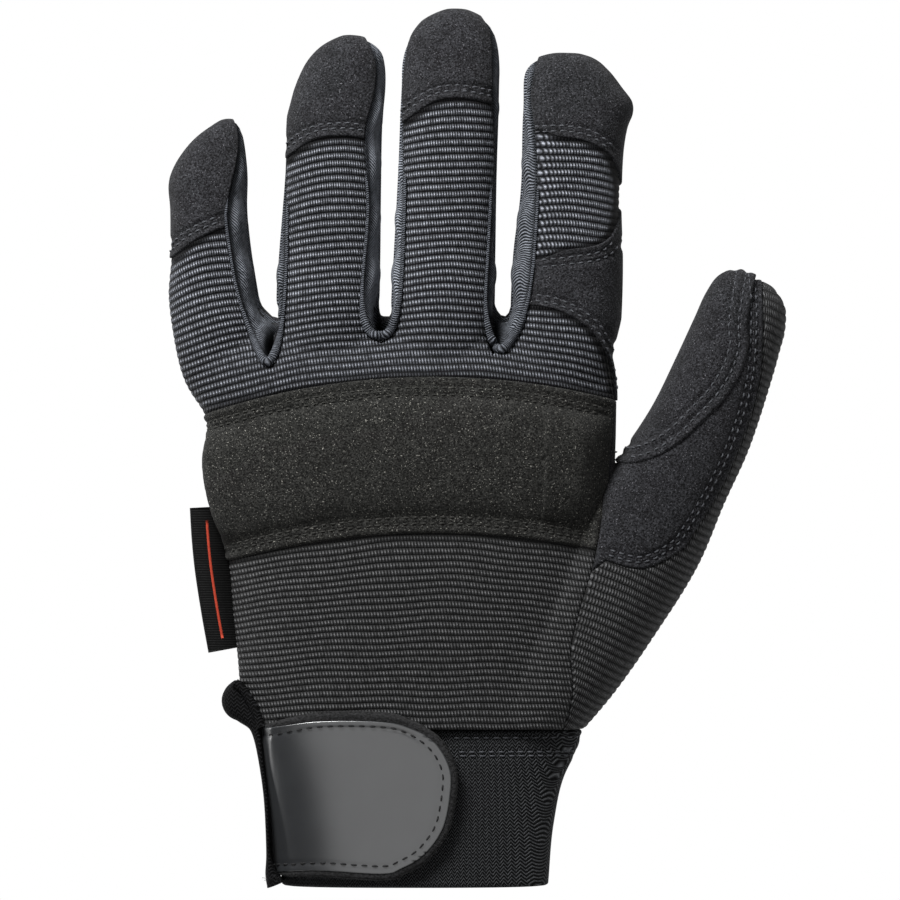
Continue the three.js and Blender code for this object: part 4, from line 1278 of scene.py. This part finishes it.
# %% The fold and the label
def sweep(path, profile, heading, widths=1.0):
    """A closed skin: the profile (sideways, up) at each point of a path in plan."""
    run = np.gradient(path, axis=0)
    run /= np.linalg.norm(run, axis=1, keepdims=True)
    sideways = np.stack([run[:, 1], -run[:, 0]], -1) * heading
    count, sides = len(path), len(profile)
    points = np.zeros((count, sides, 3))
    reach = profile[None, :, :1] * np.broadcast_to(widths, count)[:, None, None]
    points[..., :2] = path[:, None] + sideways[:, None] * reach
    points[..., 2] = profile[:, 1]
    here = np.arange(count * sides).reshape(count, sides)
    right = np.roll(here, -1, axis=1)
    quads = np.stack([here[:-1], here[1:], right[1:], right[:-1]], -1).reshape(-1, 4)
    faces = np.vstack([quads[:, [0, 1, 2]], quads[:, [0, 2, 3]]])
    points = np.vstack([points.reshape(-1, 3), points[[0, -1]].mean(1)])
    tip = len(points) - 2
    ends = [[tip, b, a] for a, b in zip(here[0], right[0])]
    ends += [[tip + 1, a, b] for a, b in zip(here[-1], right[-1])]
    return points, np.vstack([faces, ends])


FOLD_LINE = [
    (-48.7, 13.4, 1.4), (-49.0, 10.6, 3.9), (-48.6, 7.4, 4.9), (-46.3, 4.6, 3.8), (-44.2, 1.7, 2.6),
    (-43.3, -1.7, 1.5), (-42.2, -9.1, 0.9), (-40.8, -20.5, 0.75), (-40.2, -34.8, 0.7),
    (-39.4, -41, 1.8), (-38.2, -44.4, 2.6),
]
FOLD_ROLL = [(-49.6, 13.2), (-47.4, 11.4), (-45.6, 8.6), (-43.6, 4.6), (-42.2, 0.6)]
turn = np.linspace(0, 2 * math.pi, 24, endpoint=False)
fold_profile = np.stack([np.cos(turn), np.sin(turn)], -1)
fold_profile = signed_power(fold_profile, 0.8) * [1, 6.5] + [0, 17]
fold = curve(FOLD_LINE, 0.5)
skin = sweep(fold[:, :2], fold_profile, 1, fold[:, 2])
show("side_fold", skin, knit, ["side_fold"])
roll_profile = np.stack([1.3 * np.cos(turn), 23.4 + 1.3 * np.sin(turn)], -1)
show("side_fold_roll", sweep(curve(FOLD_ROLL, 0.5), roll_profile, 1), knit)

LABEL_LINE = [(-57.5, 21.4), (-59.4, 31.9), (-61.3, 44.2), (-62.3, 54), (-62.8, 62.7)]
LABEL_WIDTH, LABEL_HEIGHT, RIBBON = 10.0, 2.8, 0.45
bend = np.linspace(math.pi / 2, 3 * math.pi / 2, 13)
half = LABEL_HEIGHT / 2
small = half - RIBBON


def round_fold(reach, turns):
    return [(half + reach * math.cos(turn), reach * math.sin(turn)) for turn in turns]


outside = [(LABEL_WIDTH, half)] + round_fold(half, bend) + [(LABEL_WIDTH, -half)]
within = [(LABEL_WIDTH, -small)] + round_fold(small, bend[::-1]) + [(LABEL_WIDTH, small)]
label_profile = np.array(outside + within) + [0.0, 13.5]
skin = sweep(curve(LABEL_LINE, 1.0), label_profile, 1)
show("side_label", skin, ribbon, ["side_label"])
stripe_profile = np.array([(4.4, 14.85), (5.1, 14.85), (5.1, 14.96), (4.4, 14.96)])
skin = sweep(curve(LABEL_LINE, 1.0)[4:-4], stripe_profile, 1)
show("label_pinstripe", skin, pinstripe)

# %% [markdown]
# ## Sewing
#
# A stitch is a short piece of thread that dives into the cloth at both ends. We drop each row onto
# the finished surface, walk along it in even steps and lay a small capsule at every step.

# %% Laying things on the cloth
surface_points = np.vstack([points for points, _ in dressed])
starts = np.cumsum([0] + [len(points) for points, _ in dressed[:-1]])
surface_faces = np.vstack([faces + start for (_, faces), start in zip(dressed, starts)])
surface = BVHTree.FromPolygons(surface_points.tolist(), surface_faces.tolist())


def lay(line):
    """The line dropped onto the top of the cloth, with the cloth's normals."""
    spots, normals = [], []
    for x, y in line:
        spot, normal, _, _ = surface.ray_cast(Vector((x, y, 90)), Vector((0, 0, -1)))
        if spot is not None and spot.z > 3:
            spots.append(spot)
            normals.append(normal)
    return np.array(spots), np.array(normals)


# %% [markdown]
# Beside each strip between the fingers a welt of twill runs along the seam and round the crotch.
# It is a tube swept along the seam, where it lies on the cloth.

# %% Welts
def tube_along(path, ups, radius, sides=10):
    """A tube along a path in space, with values that count its slanting ridges."""
    run = np.gradient(path, axis=0)
    run /= np.linalg.norm(run, axis=1, keepdims=True)
    across = np.cross(run, ups)
    across /= np.linalg.norm(across, axis=1, keepdims=True)
    upward = np.cross(across, run)
    turn = np.linspace(0, 2 * math.pi, sides, endpoint=False)
    reach = np.asarray(radius)[:, None, None]
    points = path[:, None] + reach * (
        across[:, None] * np.cos(turn)[None, :, None] + upward[:, None] * np.sin(turn)[None, :, None]
    )
    length = np.append(0, np.cumsum(np.linalg.norm(np.diff(path, axis=0), axis=1)))
    here = np.arange(len(path) * sides).reshape(-1, sides)
    right = np.roll(here, -1, axis=1)
    quads = np.stack([here[:-1], here[1:], right[1:], right[:-1]], -1).reshape(-1, 4)
    faces = [quads[:, [0, 1, 2]], quads[:, [0, 2, 3]]]
    faces += [np.array([[here[0, 0], here[0, k], here[0, k + 1]] for k in range(1, sides - 1)])]
    faces += [np.array([[here[-1, 0], here[-1, k + 1], here[-1, k]] for k in range(1, sides - 1)])]
    ridges = np.repeat(length / 0.62, sides), np.tile(np.sin(turn) * 0.8, len(path))
    ridges += (np.full(len(path) * sides, 1.0),)
    return points.reshape(-1, 3), np.vstack(faces), ridges


WELT_AT_CROTCH, WELT_BESIDE, WELT_REACH = 1.3, 0.45, 48
for (name, line), crotch in zip(seam_curves.items(), CROTCHES):
    line = line[line[:, 1] < crotch[1] + WELT_REACH]
    line = curve(line, 0.4)
    radius = 1 - smooth_step((line[:, 1] - crotch[1]) / 18)
    radius = WELT_BESIDE + (WELT_AT_CROTCH - WELT_BESIDE) * radius[:, None]
    spots, normals = lay(shift(line, -0.5))
    spots[:, :2] += shift(line, radius * 0.8) - shift(line, -0.5)
    for _ in range(5):
        spots[1:-1] = (spots[:-2] + spots[2:] + 2 * spots[1:-1]) / 4
        normals[1:-1] = normals[:-2] + normals[2:] + 2 * normals[1:-1]
    height = spots[:, 1] - crotch[1]
    radius = WELT_BESIDE + (WELT_AT_CROTCH - WELT_BESIDE) * (1 - smooth_step(height / 18))
    spots += normals * radius[:, None] * 0.25 / np.linalg.norm(normals, axis=1, keepdims=True)
    radius *= 0.2 + 0.8 * smooth_step((WELT_REACH - height) / 4)
    points, faces, ridges = tube_along(spots, normals, radius)
    show(f"welt_{name}", (points, faces), welt_twill, (), lambda _: ridges)

# %% [markdown]
# Stitches are laid the same way, each a short piece of thread.

# %% Stitches
def sew(name, rows, material, pitch=2.6, thickness=0.5):
    """Rows of stitches as one piece."""
    dive = np.array([-0.35, 0.1, 0.2, 0.1, -0.35])
    girth = np.array([0.5, 0.95, 1, 0.95, 0.5]) * thickness / 2
    angles = np.linspace(0, 2 * math.pi, 6, endpoint=False)
    all_points = []
    for row in rows:
        spots, normals = lay(curve(row, 0.5))
        lengths = np.append(0, np.cumsum(np.linalg.norm(np.diff(spots, axis=0), axis=1)))
        count = int(lengths[-1] / pitch)
        if count < 1:
            continue
        at = (np.arange(count)[:, None] + np.linspace(0.12, 0.82, 5)[None]) * pitch
        place = np.stack([np.interp(at, lengths, spots[:, axis]) for axis in range(3)], -1)
        up = np.stack([np.interp(at[:, 2], lengths, normals[:, axis]) for axis in range(3)], -1)
        up /= np.linalg.norm(up, axis=1, keepdims=True)
        run = place[:, -1] - place[:, 0]
        run /= np.linalg.norm(run, axis=1, keepdims=True)
        across = np.cross(up, run)
        middle = place + up[:, None] * (dive + thickness * 0.2)[None, :, None]
        ring_points = (
            middle[:, :, None]
            + across[:, None, None] * (girth[:, None] * np.cos(angles))[None, :, :, None]
            + up[:, None, None] * (girth[:, None] * np.sin(angles))[None, :, :, None]
        )
        all_points.append(ring_points.reshape(-1, 3))
    points = np.vstack(all_points)
    here = np.arange(30).reshape(5, 6)
    right = np.roll(here, -1, axis=1)
    quads = np.stack([here[:-1], right[:-1], right[1:], here[1:]], -1).reshape(-1, 4)
    one = np.vstack([quads[:, [0, 1, 2]], quads[:, [0, 2, 3]]])
    ends = [[0, k + 1, k] for k in range(1, 5)] + [[24, 24 + k, 25 + k] for k in range(1, 5)]
    one = np.vstack([one, ends])
    total = len(points) // 30
    faces = (one[None] + 30 * np.arange(total)[:, None, None]).reshape(-1, 3)
    return show(name, (points, faces), material)


sew("pad_stitches", pad_rows, pad_thread)
sew("finger_stitches", [row for rows in cap_rows.values() for row in rows] + wrap_rows, thread)
WEB = (61.0, 70.0)
thumb_sewn = [row[(row[:, 0] > WEB[0]) | (row[:, 1] < WEB[1])] for row in patch_rows + thumb_rows]
sew("thumb_stitches", thumb_sewn, thread)
sew("cuff_stitches", cuff_rows, thread, 2.8)
sew("tab_stitches", [tab_row], hook_loop, 3.0, 0.5)

# %% [markdown]
# The hook and loop of the tab is cut from a roll, so its edge frays. Short loose fibres stand out
# along it, more of them at the lower corner. They are thin three-sided spikes with a seeded turn.

# %% Loose fibres
def loose_fibres(name, line, count, longest, seed):
    """Fibres that start on a line laid over the cloth and point anyhow."""
    chance = np.random.default_rng(seed)
    spots, _ = lay(line)
    root = spots[chance.integers(0, len(spots), count)]
    heading = chance.normal(size=(count, 3)) * [1, 1, 0.3]
    heading /= np.linalg.norm(heading, axis=1, keepdims=True)
    reach = heading * chance.uniform(0.3, 1, (count, 1)) * longest
    bend = chance.normal(size=(count, 3)) * [1, 1, 0.2] * longest * 0.2
    across = np.cross(heading, [0, 0, 1.0]) * 0.07
    corners = [root - across, root + across, root + [0, 0, 0.12]]
    middle = root + reach * 0.5 + bend
    corners += [middle - across * 0.8, middle + across * 0.8, middle + [0, 0, 0.1], root + reach]
    points = np.stack(corners, 1).reshape(-1, 3)
    one = np.array([
        (0, 1, 4), (0, 4, 3), (1, 2, 5), (1, 5, 4), (2, 0, 3), (2, 3, 5), (3, 4, 6), (4, 5, 6), (5, 3, 6),
    ])
    faces = (one[None] + 7 * np.arange(count)[:, None, None]).reshape(-1, 3)
    show(name, (points, faces), hook_loop)


tab_edge = shift(tab, 1.6)
tab_edge = tab_edge[tab_edge[:, 0] > STRAP_CORNER]
loose_fibres("tab_fuzz", tab_edge, 500, 1.3, 3)
foot_edge = tab_edge[tab_edge[:, 1] < -30]
loose_fibres("tab_fuzz_foot", foot_edge, 260, 2.2, 5)

# %% [markdown]
# ## Floor, lights and camera
#
# The photo has a shadowless white ground, as a light table gives. Its light comes from above the
# fingertips and rakes down the glove: every cord has a bright upper side and a dark groove. A
# black card stands on the left, because the glossy patch is dark there in the photo, and a small
# low lamp in front of it gives the patch's bent edge its bright line.

# %% Stage
corners = np.array([(-1, -1, 0), (1, -1, 0), (1, 1, 0), (-1, 1, 0)]) * 1500.0
floor = new_object("floor", corners - [0, 0, 0.05], [(0, 1, 2, 3)])
table_top = bpy.data.materials.new("light_table")
table_top.use_nodes = True
table_shader = table_top.node_tree.nodes["Principled BSDF"]
table_shader.inputs["Base Color"].default_value = (0, 0, 0, 1)
table_shader.inputs["Specular IOR Level"].default_value = 0
table_shader.inputs["Emission Color"].default_value = (1, 1, 1, 1)
table_shader.inputs["Emission Strength"].default_value = 1.0
floor.data.materials.append(table_top)
floor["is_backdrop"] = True


def area_light(name, spot, size, power):
    """A square lamp turned towards the glove."""
    lamp = bpy.data.lights.new(name, "AREA")
    lamp.energy, lamp.size = power, size
    thing = bpy.data.objects.new(name, lamp)
    thing.location = spot
    thing.rotation_euler = (-Vector(spot)).to_track_quat("-Z", "Y").to_euler()
    bpy.context.scene.collection.objects.link(thing)


area_light("key", (-0.28, 0.5, 0.4), 0.25, 9.0)
area_light("fill", (0.0, -0.3, 1.0), 1.0, 2.0)
area_light("rim", (-0.39, -0.12, 0.03), 0.05, 0.1)
card_corners = [(-400, -500, 0), (-400, 250, 0), (-400, 250, 850), (-400, -500, 850)]
card = new_object("black_card", np.array(card_corners, float), [(0, 1, 2, 3)])
card.data.materials.append(plain_finish("card", (0.01, 0.01, 0.01), (0.01, 0.01, 0.01), 5, 0, 0.9))
card.visible_camera = False
card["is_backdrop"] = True
world = bpy.data.worlds.new("room")
world.use_nodes = True
world.node_tree.nodes["Background"].inputs["Color"].default_value = (1, 1, 1, 1)
world.node_tree.nodes["Background"].inputs["Strength"].default_value = 0.26
bpy.context.scene.world = world

SHOWN_WIDTH, CAMERA_HEIGHT, GLOVE_MIDDLE = 256.5, 2000, 15
lens = bpy.data.cameras.new("photo_camera")
lens.lens = 36 * (CAMERA_HEIGHT - GLOVE_MIDDLE) / SHOWN_WIDTH
lens.clip_end = 10
camera = bpy.data.objects.new("photo_camera", lens)
camera.location = (-0.00705, 0.00014, CAMERA_HEIGHT * MM)
bpy.context.scene.collection.objects.link(camera)
bpy.context.scene.camera = camera
bpy.context.scene.view_settings.view_transform = "Standard"

# %% Sizes and finish
sizes = {"cad": cad_box, "visual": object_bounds()}
sizes = {name: [[float(x) for x in corner] for corner in box] for name, box in sizes.items()}
print(sizes)
